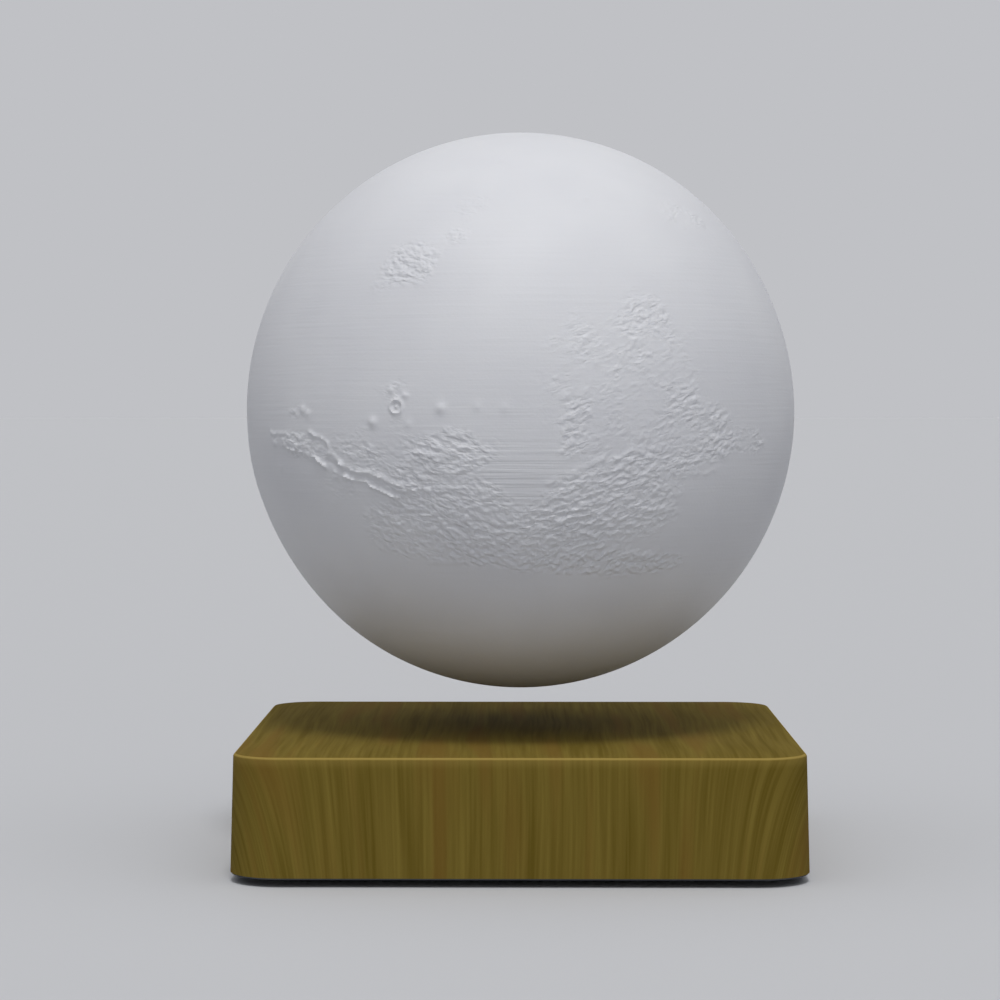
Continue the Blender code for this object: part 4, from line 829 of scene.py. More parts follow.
def combined(body: Piece, tool: Piece, operation: str) -> Piece:
    """Adds a tool's shape to a body or cuts it away, and removes the tool.

    Args:
        body: The piece that is changed.
        tool: The shape that is added or cut.
        operation: "UNION" or "DIFFERENCE".

    Returns:
        The changed piece, under the same name.
    """
    name = body.name
    body.name = name + "_before"
    modifier = body.modifiers.new("shape", "BOOLEAN")
    modifier.operation = operation
    modifier.solver = "EXACT"
    modifier.object = tool
    result = baked(body, name)
    bpy.data.objects.remove(tool)
    return result


def prism(name: str, outline: Outline, low: float, high: float, place: Matrix = Matrix.Identity(4)) -> Piece:
    """Makes a solid with the same outline from its low end to its high end, and moves it to a place."""
    return Draft().join([at_height(outline, z, place) for z in (low, high)]).piece(name)


def dress(obj: Piece, finish: Finish) -> Piece:
    """Gives a piece one finish all over, in each of its material slots.

    Args:
        obj: The piece, or a node of the frame.
        finish: Its finish.

    Returns:
        The piece.
    """
    if not obj.material_slots:
        obj.data.materials.append(finish.material())
    for slot in obj.material_slots:
        slot.material = finish.material()
    return obj


def place(obj: Piece, body: str, slot: str, *nodes: str) -> None:
    """Lets a finished piece ride on a body and stand for nodes of the frame.

    Args:
        obj: The piece.
        body: The body that carries it.
        slot: The record's slot for its finish; not used.
        nodes: The nodes that it stands for.
    """
    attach(obj, body)
    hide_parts(*nodes)
    LOG.info("%s: %d faces, for %s", obj.name, len(obj.data.polygons), ", ".join(nodes))


# Geometry rules


class Rule:
    """A Geometry Nodes tree with named inputs, which makes the shape of a piece."""

    SOCKETS = {
        float: "NodeSocketFloat",
        int: "NodeSocketInt",
        bpy.types.Object: "NodeSocketObject",
        bpy.types.Material: "NodeSocketMaterial",
    }

    def __init__(self, name: str, inputs: dict[str, type]) -> None:
        """Starts a tree.

        Args:
            name: The tree's name.
            inputs: The kind of each named input.
        """
        self.tree = bpy.data.node_groups.new(name, "GeometryNodeTree")
        interface = self.tree.interface
        interface.new_socket("Geometry", in_out="INPUT", socket_type="NodeSocketGeometry")
        self.identifiers = {
            label: interface.new_socket(label, in_out="INPUT", socket_type=self.SOCKETS[kind]).identifier
            for label, kind in {**inputs, "Material": bpy.types.Material}.items()
        }
        interface.new_socket("Geometry", in_out="OUTPUT", socket_type="NodeSocketGeometry")
        self.start = add(self.tree, "NodeGroupInput")

    def input(self, label: str) -> Socket:
        """Gives the socket of a named input."""
        return self.start.outputs[label]

    def close(self, geometry: Node) -> None:
        """Ends the tree in real meshes with their material set.

        Args:
            geometry: The node that gives the finished shape.
        """
        real = add(self.tree, "GeometryNodeRealizeInstances", [geometry])
        dressing = {"Geometry": real, "Material": self.input("Material")}
        add(self.tree, "NodeGroupOutput", [add(self.tree, "GeometryNodeSetMaterial", dressing)])

    def make(self, name: str, host: Piece, finish: Finish, **values: Any) -> Piece:
        """Runs the tree on a host and gives a plain mesh.

        Args:
            name: The finished piece's name.
            host: The object that carries the tree while it runs.
            finish: The piece's finish.
            values: The value of each named input, with _ for a space.

        Returns:
            The plain mesh object.
        """
        modifier = host.modifiers.new(name, "NODES")
        modifier.node_group = self.tree
        modifier[self.identifiers["Material"]] = finish.material()
        for label, value in values.items():
            modifier[self.identifiers[label.replace("_", " ").capitalize()]] = value
        return baked(host, name)


class RepeatRule(Rule):
    """Sets one shape at each of a set of points, and turns each by its own angle."""

    def __init__(self) -> None:
        """Builds the tree: a copy at each point, turned about its own axis by a seeded angle."""
        super().__init__("repeat_at_points", {"Shape": bpy.types.Object, "Most turn": float, "Seed": int})
        shape = add(self.tree, "GeometryNodeObjectInfo", {"Object": self.input("Shape")})
        draw = {2: 0.0, 3: self.input("Most turn"), "Seed": self.input("Seed")}
        turn = add(self.tree, "FunctionNodeRandomValue", draw, data_type="FLOAT").outputs[1]
        copies = {
            "Points": self.input("Geometry"),
            "Instance": shape.outputs["Geometry"],
            "Rotation": add(self.tree, "CombineXYZ", {"Z": turn}),
        }
        self.close(add(self.tree, "GeometryNodeInstanceOnPoints", copies))

    def at(
        self,
        name: str,
        points: Sequence[Point],
        shape: Piece,
        finish: Finish,
        most_turn: float = 0.0,
        seed: int = 0,
    ) -> Piece:
        """Makes one piece of copies of a shape.

        Args:
            name: The piece's name.
            points: Where each copy goes.
            shape: The shape, built round the origin; it is removed afterwards.
            finish: The piece's finish.
            most_turn: The largest angle a copy turns by, in radians.
            seed: The seed of the turns.

        Returns:
            The plain mesh of all copies.
        """
        mesh = bpy.data.meshes.new(name + "_points")
        mesh.from_pydata(points, [], [])
        host = in_scene(name + "_host", mesh)
        made = self.make(name, host, finish, shape=shape, most_turn=most_turn, seed=seed)
        bpy.data.objects.remove(shape)
        return made


class ReliefRule(Rule):
    """Raises the printed relief where the attributes "rough" and "placed" say."""

    def __init__(self) -> None:
        """Builds the tree: fine ridges, and the placed features, along the attribute "outward"."""
        names = ("height", *RIDGE_INPUTS)
        super().__init__("printed_relief", {name.capitalize(): float for name in names})
        tree = self.tree
        spot = add(tree, "GeometryNodeInputPosition").outputs[0]
        kinds = {"rough": "FLOAT", "placed": "FLOAT", "outward": "FLOAT_VECTOR"}
        rough, placed, outward = (
            add(tree, "GeometryNodeInputNamedAttribute", {"Name": name}, data_type=kind).outputs[0]
            for name, kind in kinds.items()
        )
        sizes = {name: self.input(name.capitalize()) for name in names}
        pattern = RIDGES.pattern(tree, spot, rough, sizes)
        lift = add(tree, "Math", [pattern, sizes["height"]], operation="MULTIPLY")
        total = add(tree, "Math", [lift, placed], operation="ADD")
        offset = add(tree, "VectorMath", {0: outward, "Scale": total}, operation="SCALE")
        moved = {"Geometry": self.input("Geometry"), "Offset": offset}
        self.close(add(tree, "GeometryNodeSetPosition", moved))


# The globe


class Form(Enum):
    """The kinds of single feature that stand on the globe."""

    RIDGE = "a wavy raised line, or a groove where its height is below zero"
    STEP = "a straight printed layer that stands out"
    CRATER = "a ring with a hollow and a peak in it"
    BUMP = "a small dome"


@dataclass(frozen=True)
class Feature:
    """One placed feature: its kind, its places in degrees of longitude and latitude, and its size."""

    form: Form
    places: tuple[tuple[float, float], ...]
    radius: float
    height: float


@dataclass(frozen=True)
class Patch:
    """An oval patch of ground: its middle, half its width and height, its tilt and its strength."""

    longitude: float
    latitude: float
    half_width: float
    half_height: float
    tilt: float
    strength: float

    def distance(self, longitude: np.ndarray, latitude: np.ndarray) -> np.ndarray:
        """Gives each place's distance from the patch's middle, where 1 lies on its oval.

        Args:
            longitude: In degrees.
            latitude: In degrees.

        Returns:
            The distance of each place.
        """
        east = centred(longitude - self.longitude) * np.cos(np.radians(latitude))
        north = latitude - self.latitude
        turn = math.radians(self.tilt)
        along = (east * math.cos(turn) + north * math.sin(turn)) / self.half_width
        over = (north * math.cos(turn) - east * math.sin(turn)) / self.half_height
        return np.sqrt(along**2 + over**2)


# Broad swells: longitude, latitude and spread in degrees, and a share of the globe's swell
SWELLS = (
    (25.0, -14.0, 24.0, 1.0),
    (34.0, 14.0, 17.0, 0.7),
    (-24.0, -9.0, 17.0, 0.8),
    (-52.0, -10.0, 12.0, 0.7),
    (-8.0, 14.0, 26.0, -0.9),
    (-24.0, 32.0, 10.0, 0.5),
    (-42.0, -28.0, 15.0, -0.7),
    (4.0, -26.0, 18.0, 0.6),
    (70.0, -4.0, 16.0, 0.6),
    (110.0, 22.0, 24.0, -0.8),
    (138.0, -18.0, 22.0, 0.9),
    (178.0, 12.0, 26.0, -0.7),
    (-150.0, -22.0, 20.0, 0.8),
    (-112.0, 18.0, 22.0, 0.7),
    (-88.0, -32.0, 16.0, -0.6),
    (60.0, 48.0, 18.0, 0.4),
    (-140.0, 52.0, 20.0, 0.5),
)

# Rough ground, as the fields of Patch
PATCHES = tuple(
    Patch(*row)
    for row in (
        (18.6, -18.4, 15.8, 9.4, 12.0, 1.0),
        (8.9, -24.0, 12.8, 7.4, 13.0, 1.35),
        (18.3, -30.3, 19.4, 3.0, -1.0, 1.5),
        (24.8, -11.1, 13.5, 4.0, -1.0, 0.8),
        (11.2, -2.5, 3.6, 6.8, -12.0, 0.72),
        (5.4, 5.5, 3.8, 2.3, -30.0, 0.45),
        (26.2, 16.8, 8.1, 6.9, 1.0, 0.52),
        (27.5, 8.9, 5.8, 4.3, 0.0, 0.6),
        (31.5, 3.1, 8.6, 3.8, -24.0, 0.6),
        (38.8, -1.4, 8.3, 4.6, -15.0, 0.6),
        (51.4, -5.8, 8.5, 3.0, -1.0, 0.65),
        (36.1, -7.2, 14.1, 3.4, 0.0, 0.6),
        (24.0, 2.0, 20.0, 21.0, 0.0, 0.43),
        (-21.0, -15.0, 24.0, 13.0, -8.0, 0.5),
        (-14.1, -8.5, 9.6, 5.5, 0.0, 0.75),
        (-34.5, -8.0, 15.0, 4.6, -9.0, 0.5),
        (-23.6, -14.5, 13.8, 5.0, -13.0, 0.7),
        (-10.1, -17.4, 9.5, 5.3, 1.0, 0.85),
        (-23.9, -23.8, 12.5, 6.4, -7.0, 1.0),
        (-8.6, -25.7, 10.2, 5.3, 0.0, 1.3),
        (-33.7, -33.0, 6.0, 2.6, 2.0, 0.4),
        (-25.6, 30.3, 6.8, 5.7, 24.0, 0.8),
        (-15.8, 36.3, 3.9, 2.6, 28.0, 0.5),
        (-32.1, 24.7, 4.0, 1.8, 13.0, 0.4),
        (51.6, 40.3, 9.0, 6.7, -23.0, 0.35),
        (20.1, 46.1, 4.7, 3.7, 2.0, 0.3),
        (-13.2, 44.5, 4.0, 7.6, -1.0, 0.3),
        (-24.7, 4.0, 5.2, 2.6, -1.0, 0.5),
        (-49.1, -0.2, 5.0, 1.6, 0.0, 0.6),
        (-48.0, -6.9, 9.9, 2.7, -11.0, 0.6),
        (112.0, -16.0, 22.0, 12.0, 10.0, 0.9),
        (146.0, 12.0, 18.0, 9.0, -20.0, 0.7),
        (-165.0, -20.0, 24.0, 11.0, -8.0, 0.9),
        (-128.0, 6.0, 14.0, 16.0, 0.0, 0.7),
        (-96.0, -14.0, 18.0, 8.0, 15.0, 0.8),
        (-150.0, 40.0, 14.0, 6.0, 25.0, 0.5),
    )
)

# Ridges: radius, height, and the longitude and latitude of each corner
RIDGE_LINES = (
    (0.00050, 0.00050, ((-46.7, -4.1), (-43.2, -5.1), (-41.6, -6.0), (-41.4, -8.0), (-38.3, -10.0))),
    (0.00050, 0.00056, ((-38.3, -10.0), (-36.1, -11.0), (-32.7, -11.8), (-29.3, -12.6))),
    (0.00052, 0.00046, ((-29.0, -12.6), (-26.2, -13.8), (-22.2, -14.2))),
    (0.00052, 0.00060, ((-37.5, -13.0), (-33.0, -13.6), (-31.4, -14.6), (-28.1, -15.7), (-25.8, -16.4))),
    (0.00052, 0.00042, ((-59.7, -6.4), (-54.0, -7.0), (-49.0, -7.9), (-45.2, -9.1), (-42.8, -10.5))),
    (0.00052, 0.00056, ((-42.8, -10.5), (-40.1, -12.2), (-37.5, -13.0))),
    (0.00050, 0.00030, ((-27.5, -14.6), (-24.7, -14.9), (-20.8, -15.2), (-17.0, -15.6))),
    (0.00050, -0.00030, ((-42.0, -9.3), (-38.8, -11.3), (-33.2, -12.7), (-28.9, -14.1))),
    (0.00045, 0.00022, ((-58.0, -5.4), (-50.0, -5.9), (-45.5, -6.3))),
    (0.00055, 0.00029, ((-61.0, -4.2), (-54.9, -4.5), (-48.6, -5.2))),
    (0.00055, 0.00035, ((-60.5, -5.7), (-51.8, -6.3), (-47.1, -7.1))),
    (0.00055, 0.00035, ((-45.7, -8.1), (-42.4, -11.2), (-40.8, -13.1), (-37.6, -13.6))),
    (0.00055, 0.00031, ((-20.2, -7.8), (-16.5, -8.5), (-14.1, -7.9), (-10.9, -8.5))),
    (0.00055, 0.00031, ((-19.9, -9.1), (-16.3, -9.4), (-13.3, -8.9), (-9.7, -9.4))),
    (0.00055, 0.00031, ((-18.0, -6.2), (-16.3, -7.3), (-14.3, -7.9))),
    (0.00055, 0.00025, ((-17.5, -11.0), (-13.4, -11.8), (-9.6, -10.6))),
    (0.00070, -0.00035, ((-25.8, -16.6), (-25.7, -18.3), (-26.2, -20.8))),
    (0.00070, -0.00025, ((-29.7, -19.2), (-26.3, -20.2))),
    (0.00055, 0.00022, ((8.3, 2.3), (10.8, 2.9), (13.0, 4.0))),
    (0.00060, 0.00027, ((8.3, -1.2), (10.4, -0.6), (12.6, 0.2))),
    (0.00055, 0.00022, ((8.0, -7.9), (9.7, -6.7), (12.3, -5.6))),
    (0.00060, 0.00024, ((5.6, -14.1), (9.1, -12.6), (13.4, -10.6), (16.6, -8.7))),
    (0.00060, 0.00024, ((8.0, -15.7), (13.0, -13.4), (18.4, -11.4), (21.7, -9.9))),
    (0.00060, 0.00024, ((17.3, -9.8), (20.3, -8.7), (21.9, -7.5), (24.5, -7.9))),
    (0.00065, -0.00022, ((39.1, -1.8), (41.1, -3.7), (44.1, -5.3))),
    (0.00055, 0.00019, ((31.7, -11.5), (37.6, -12.2), (43.9, -11.7))),
    (0.00110, 0.00038, ((118.0, 2.0), (131.0, -3.0), (149.0, -4.0))),
    (0.00110, 0.00038, ((-172.0, -4.0), (-158.0, -9.0), (-141.0, -8.0))),
    (0.00100, 0.00032, ((-118.0, -6.0), (-103.0, -2.0), (-92.0, -5.0))),
)

# Layers that stand out: their radius and height, and the two ends of each
STEP_RADIUS, STEP_HEIGHT = 0.00035, 0.00015
LAYER_STEPS = (
    ((-11.5, -26.4), (-0.8, -26.4)),
    ((-21.5, -30.6), (-13.1, -30.6)),
    ((-18.6, -18.5), (-8.5, -18.5)),
    ((-21.0, -20.2), (-8.6, -20.2)),
    ((5.6, -28.9), (16.2, -28.9)),
)

# Craters, and after them bumps: radius, height, and longitude and latitude
CRATERS = (
    (0.0017, 0.00048, (-24.6, 0.8)),
    (0.0024, 0.00022, (128.0, 26.0)),
    (0.0020, 0.00020, (-134.0, 24.0)),
)

BUMPS = (
    (0.0013, 0.00048, (-15.3, 0.5)),
    (0.0012, 0.00021, (-8.2, 0.8)),
    (0.0012, 0.00026, (-2.8, 0.6)),
    (0.0010, 0.00034, (-22.1, -2.5)),
    (0.0012, 0.00048, (-29.8, -2.2)),
    (0.0007, 0.00042, (-30.8, -7.6)),
    (0.0010, 0.00046, (-48.4, 0.2)),
    (0.0009, 0.00042, (-46.8, -0.6)),
    (0.0011, 0.00022, (18.6, 46.0)),
    (0.0009, 0.00018, (31.1, 34.4)),
    (0.0010, 0.00018, (77.8, 46.0)),
    (0.0009, 0.00024, (-6.5, 58.7)),
    (0.0006, 0.00027, (23.5, 13.6)),
    (0.0008, 0.00021, (15.0, 9.1)),
    (0.0009, 0.00015, (0.0, 10.8)),
    (0.0009, 0.00036, (-22.9, 3.0)),
    (0.0009, 0.00030, (-25.8, 4.0)),
    (0.0010, 0.00018, (-58.5, -11.3)),
    (0.0014, 0.00024, (165.0, 34.0)),
    (0.0012, 0.00021, (98.0, 30.0)),
)

# Where the print's lines stand out: longitude and latitude, half a width and a height, and strength
LINE_AREAS = (
    (-4.0, -13.0, 13.0, 8.0, 2.1),
    (-10.0, -31.0, 24.0, 2.5, 1.1),
)

FEATURES = (
    *[Feature(Form.RIDGE, places, radius, height) for radius, height, places in RIDGE_LINES],
    *[Feature(Form.STEP, places, STEP_RADIUS, STEP_HEIGHT) for places in LAYER_STEPS],
    *[Feature(Form.CRATER, (spot,), radius, height) for radius, height, spot in CRATERS],
    *[Feature(Form.BUMP, (spot,), radius, height) for radius, height, spot in BUMPS],
)

# The waves that bend a drawn line: how fast each runs, and how far it shifts in shares of the radius
WAVES = ((38.0, 0.0055), (83.0, 0.0034), (151.0, 0.0018))
# How the directions mix in each wave, where the next one starts, and how fast it runs crosswise
WAVE_MIX = np.array([[0.8, 0.6, 0.3], [-0.5, 0.7, 0.9], [0.4, -0.6, 0.8]])
WAVE_START, CROSS_PACE = 1.7, 0.7


def centred(longitude: np.ndarray) -> np.ndarray:
    """Brings longitudes into the range from -180 to 180 degrees."""
    return (longitude + 180.0) % 360.0 - 180.0


def directions(longitude: np.ndarray, latitude: np.ndarray) -> np.ndarray:
    """Turns degrees of longitude and latitude into unit vectors; 0 is the front and +90 is +X."""
    lon, lat = np.radians(longitude), np.radians(latitude)
    return np.stack([np.sin(lon) * np.cos(lat), -np.cos(lon) * np.cos(lat), np.sin(lat)], axis=-1)


def ripple(ways: np.ndarray) -> np.ndarray:
    """Gives a small wavy shift for each direction, so that a drawn line isn't straight.

    Args:
        ways: Unit vectors from the globe's centre.

    Returns:
        A shift for each of them, in shares of the radius.
    """
    shift = np.zeros_like(ways)
    for number, (pace, size) in enumerate(WAVES):
        turned = ways @ WAVE_MIX * pace + number * WAVE_START
        shift += size * np.sin(turned) * np.cos(turned[:, ::-1] * CROSS_PACE)
    return shift


@dataclass
class Globe:
    """The hollow printed globe with its planet relief, and the cap that closes it below."""

    half_width: float = 0.0750
    half_height: float = 0.07605
    centre_z: float = 0.12005
    wall: float = 0.0016
    opening: float = 0.03603
    swell: float = 0.0005
    skin: float = 0.00012
    columns: int = 144
    rows: int = 60
    smooth_cuts: int = 2
    rough_cuts: int = 4
    finest_cuts: int = 8
    rough_from: float = 0.08
    finest_from: float = 0.40
    marks_from: float = 0.00002
    front_half: float = 78.0
    inner_columns: int = 72
    inner_rows: int = 30
    rim_fade: float = 3.0
    inner_fade: float = 0.004
    ridge_height: float = 0.00022
    patch_reach: float = 1.45
    patch_fade: float = 0.95
    patch_floor: float = -34.5
    floor_fade: float = 1.2
    ring_width: float = 0.24
    peak_width: float = 0.26
    peak_height: float = 1.25
    hollow_width: float = 0.75
    hollow_depth: float = 0.6
    unevenness: float = 45.0
    uneven_from: float = 0.65
    uneven_to: float = 1.25
    lines_all_over: float = 0.45
    lines_on_top: float = 0.35
    top_from: float = 40.0
    top_fade: float = 30.0
    lines_inside: float = 0.5
    lines_on_cap: float = 0.6
    cap_radius: float = 0.0360
    cap_rise: float = 0.0036
    cap_wall: float = 0.0020
    cap_shelf: float = 0.0060
    cap_bands: int = 30
    cap_sides: int = 144

    def rough(self, longitude: np.ndarray, latitude: np.ndarray) -> np.ndarray:
        """Says how rough the ground is at each place.

        Args:
            longitude: In degrees.
            latitude: In degrees.

        Returns:
            A share from 0 up, where 1 is rough all over and more is higher too.
        """
        most = np.zeros_like(longitude)
        for patch in PATCHES:
            distance = patch.distance(longitude, latitude)
            edge = np.clip((self.patch_reach - distance) / self.patch_fade, 0.0, 1.0)
            most = np.maximum(most, patch.strength * edge * edge * (3 - 2 * edge))
        return most * np.clip((latitude - self.patch_floor) / self.floor_fade, 0.0, 1.0)

    def lines(self, longitude: np.ndarray, latitude: np.ndarray) -> np.ndarray:
        """Says how strongly the print's level lines show at each place.

        Args:
            longitude: In degrees.
            latitude: In degrees.

        Returns:
            The strength of the lines.
        """
        on_top = np.clip((latitude - self.top_from) / self.top_fade, 0.0, 1.0)
        strength = self.lines_all_over + self.lines_on_top * on_top
        for middle, level, half_width, half_height, share in LINE_AREAS:
            east, north = (centred(longitude) - middle) / half_width, (latitude - level) / half_height
            strength = strength + share * np.exp(-(east**2) - north**2)
        return strength

    def swells(self, ways: np.ndarray) -> np.ndarray:
        """Gives the height of the broad swells and basins, the same as in the solid.

        Args:
            ways: Unit vectors from the globe's centre.

        Returns:
            A height for each of them, in metres.
        """
        height = np.zeros(len(ways))
        for longitude, latitude, spread, share in SWELLS:
            middle = directions(np.array([longitude]), np.array([latitude]))[0]
            away = np.arccos(np.clip(ways @ middle, -1.0, 1.0))
            height += share * self.swell * np.exp(-((away / math.radians(spread)) ** 2))
        return height

    def features(self, ways: np.ndarray) -> np.ndarray:
        """Gives the height of the placed ridges, layers, craters and bumps.

        Args:
            ways: Unit vectors from the globe's centre.

        Returns:
            A height for each of them, in metres.
        """
        height = np.zeros(len(ways))
        wobble = ripple(ways)
        uneven = np.clip(1.0 + self.unevenness * wobble[:, 2], self.uneven_from, self.uneven_to)
        for feature in FEATURES:
            spots = directions(*np.array(feature.places, dtype=float).T)
            bent = ways if feature.form is Form.STEP else ways + wobble
            distance = np.full(len(ways), np.inf)
            if len(spots) == 1:
                distance = np.linalg.norm(ways - spots[0], axis=1) * self.half_width
            for start, end in zip(spots, spots[1:]):
                run = end - start
                share = np.clip((ways - start) @ run / (run @ run), 0.0, 1.0)
                nearest = start + share[:, None] * run
                distance = np.minimum(distance, np.linalg.norm(bent - nearest, axis=1) * self.half_width)
            away = distance / feature.radius
            if feature.form is Form.CRATER:
                ring = np.exp(-(((away - 1.0) / self.ring_width) ** 2))
                peak = self.peak_height * np.exp(-((away / self.peak_width) ** 2))
                hollow = self.hollow_depth * np.exp(-((away / self.hollow_width) ** 2))
                height += feature.height * (ring + peak - hollow)
            else:
                height += feature.height * uneven * np.exp(-(away**2))
        return height

    def latitude_at(self, radius: float, inset: float) -> float:
        """Gives the latitude, in degrees, at which the lower half has a radius."""
        return -math.degrees(math.acos(radius / (self.half_width - inset)))

    def surface_z(self, radius: float, inset: float) -> float:
        """Gives the height of the globe's lower half at a radius, on the surface drawn in by an inset."""
        share = radius / (self.half_width - inset)
        return self.centre_z - (self.half_height - inset) * math.sqrt(1.0 - share * share)

    def cell_cuts(self) -> np.ndarray:
        """Chooses how finely each cell of the outer surface is cut.

        Returns:
            How many parts each side of each cell is cut into; rows run up and columns east.
        """
        lowest = self.latitude_at(self.opening, 0.0)
        latitude = lowest + (90.0 - lowest) * (np.arange(self.rows) + 0.5) / self.rows
        lon, lat = np.meshgrid(360.0 * (np.arange(self.columns) + 0.5) / self.columns, latitude)
        shares = self.rough(lon, lat)
        marks = self.features(directions(lon.ravel(), lat.ravel())).reshape(shares.shape)
        marked = np.abs(marks) > self.marks_from
        finest = (np.abs(centred(lon)) < self.front_half) & ((shares > self.finest_from) | marked)
        cuts = np.where((shares > self.rough_from) | marked, self.rough_cuts, self.smooth_cuts)
        cuts[finest] = self.finest_cuts
        cuts[0] = self.smooth_cuts
        return cuts

    def graded_faces(self, cuts: np.ndarray, unit: int) -> tuple[Places, list[Face]]:
        """Cuts a grid of cells finely where asked, with no gap between fine and coarse cells.

        Args:
            cuts: How many parts each side of each cell is cut into; rows run up and columns east.
            unit: The finest count of parts.

        Returns:
            The place of each point in finest units, row first, and the faces.
        """
        rows, columns = cuts.shape
        numbers: dict[tuple[int, int], int] = {}
        faces: list[Face] = []
        for row, column in np.ndindex(rows, columns):
            own = int(cuts[row, column])
            step = unit // own
            below, above = max(row - 1, 0), min(row + 1, rows - 1)
            beside = ((below, column), (row, (column + 1) % columns), (above, column), (row, column - 1))
            south, east, north, west = (unit // max(own, int(cuts[cell])) for cell in beside)
            for a, b in np.ndindex(own, own):
                low, left = row * unit + a * step, column * unit + b * step
                high, right = low + step, left + step
                border = [(low, j) for j in range(left, right, step if a else south)]
                border += [(i, right) for i in range(low, high, east if b == own - 1 else step)]
                border += [(high, j) for j in range(right, left, -(north if a == own - 1 else step))]
                border += [(i, left) for i in range(high, low, -(step if b else west))]
                keys = [(i, 0 if i == rows * unit else j % (columns * unit)) for i, j in border]
                face = [numbers.setdefault(key, len(numbers)) for key in keys]
                faces.append(tuple(dict.fromkeys(face)))
        return list(numbers), faces

    def shell_points(self, places: Places, rows: int, columns: int, inset: float) -> tuple[np.ndarray, ...]:
        """Puts a grid's points on the globe.

        Args:
            places: Row and column of each point, in finest units.
            rows: How many finest units there are from the opening to the top.
            columns: How many there are round the globe.
            inset: How far the surface is drawn in.

        Returns:
            The points, their directions, and their longitudes and latitudes.
        """
        steps = np.array(places, dtype=float)
        lowest = self.latitude_at(self.opening, inset)
        latitude = lowest + (90.0 - lowest) * steps[:, 0] / rows
        longitude = 360.0 * steps[:, 1] / columns
        ways = directions(longitude, latitude)
        size = np.array([self.half_width - inset, self.half_width - inset, self.half_height - inset])
        return ways * size + np.array([0.0, 0.0, self.centre_z]), ways, longitude, latitude

    def rim_faces(self, places: Places, inner_places: Places) -> list[Face]:
        """Joins the outer and the inner surface round the opening.

        Args:
            places: The place of each outer point, in finest units.
            inner_places: The place of each inner point; they are numbered after the outer ones.

        Returns:
            The faces of the rim.
        """
        first, around = len(places), self.columns * self.finest_cuts
        grids = (places, inner_places)
        rim, inner_rim = ({column: k for k, (row, column) in enumerate(grid) if row == 0} for grid in grids)
        faces: list[Face] = []
        for k in range(self.inner_columns):
            start, end = (j * around // self.inner_columns for j in (k, k + 1))
            edge = [rim[j % around] for j in range(start, end + 1, self.finest_cuts // self.smooth_cuts)]
            after = inner_rim[(k + 1) % self.inner_columns]
            faces.append((*reversed(edge), first + inner_rim[k], first + after))
        return faces

    def build_shell(self) -> Piece:
        """Builds the printed shell with its relief.

        Returns:
            The finished piece.
        """
        unit, around = self.finest_cuts, self.columns * self.finest_cuts
        places, faces = self.graded_faces(self.cell_cuts(), unit)
        points, ways, longitude, latitude = self.shell_points(places, self.rows * unit, around, self.skin)
        inner_grid = (self.inner_rows, self.inner_columns)
        inner_places, inner_faces = self.graded_faces(np.ones(inner_grid, dtype=int), 1)
        inner, inner_ways, _, _ = self.shell_points(inner_places, *inner_grid, self.wall)
        first = len(points)
        faces += [tuple(first + k for k in reversed(face)) for face in inner_faces]
        faces += self.rim_faces(places, inner_places)
        over_rim = np.clip((latitude - latitude.min()) / self.rim_fade, 0.0, 1.0)
        over_inner_rim = np.clip((inner[:, 2] - inner[:, 2].min()) / self.inner_fade, 0.0, 1.0)
        heights = np.concatenate([self.swells(ways) * over_rim, self.swells(inner_ways) * over_inner_rim])
        outward = np.concatenate([ways, inner_ways])
        mesh = bpy.data.meshes.new("printed_globe_base")
        mesh.from_pydata((np.concatenate([points, inner]) + outward * heights[:, None]).tolist(), [], faces)
        values = {
            "rough": (self.rough(longitude, latitude) * over_rim, 0.0),
            "placed": (self.features(ways) * over_rim, 0.0),
            "lines": (self.lines(longitude, latitude), self.lines_inside),
        }
        for label, (value, inside) in values.items():
            mark(mesh, label, np.concatenate([value, np.full(len(inner), inside)]))
        mark(mesh, "outward", outward)
        host = linked("printed_globe_base", mesh)
        sizes = {name: getattr(RIDGES, name) for name in RIDGE_INPUTS}
        shell = ReliefRule().make("printed_globe", host, PLA, height=self.ridge_height, **sizes)
        for label in ("placed", "outward"):
            shell.data.attributes.remove(shell.data.attributes[label])
        return shell

    def build_cap(self) -> Piece:
        """Builds the cap, whose face carries the globe's curve on.

        Returns:
            The finished piece.
        """
        shares = [k / self.cap_bands for k in range(self.cap_bands + 1)]
        inside = self.cap_radius - self.cap_wall
        shelf = inside - self.cap_shelf
        shelf_z = self.surface_z(inside, 0.0) + self.cap_wall
        rim_z = self.surface_z(self.cap_radius, 0.0) + self.cap_rise
        profile = [(self.cap_radius * s, self.surface_z(self.cap_radius * s, self.skin)) for s in shares]
        profile += [(self.cap_radius, rim_z), (inside, rim_z), (inside, shelf_z), (shelf, shelf_z)]
        profile += [(shelf * s, self.surface_z(shelf * s, self.cap_wall)) for s in reversed(shares)]
        cap = Draft().revolve(profile, self.cap_sides).piece("printed_cap")
        mark(cap.data, "lines", np.full(len(cap.data.vertices), self.lines_on_cap))
        return cap

    def make(self) -> None:
        """Builds and places both pieces."""
        place(self.build_shell(), "globe", "white_pla", "moon_globe")
        place(dress(self.build_cap(), PLA), "globe", "white_pla", "globe_cap")


# The base

# Sizes its pieces share: the height of the socket, and the place and hole of each plate screw
SOCKET_Z, SCREW_PLACE, SCREW_HOLE = 0.0165, 0.0616, 0.0017


def out_of_back(y: float, z: float) -> Matrix:
    """Turns a shape drawn along +Z so that it points out of the back wall from a depth."""
    return Matrix.Translation((0.0, y, z)) @ Matrix.Rotation(-QUARTER, 4, "X")


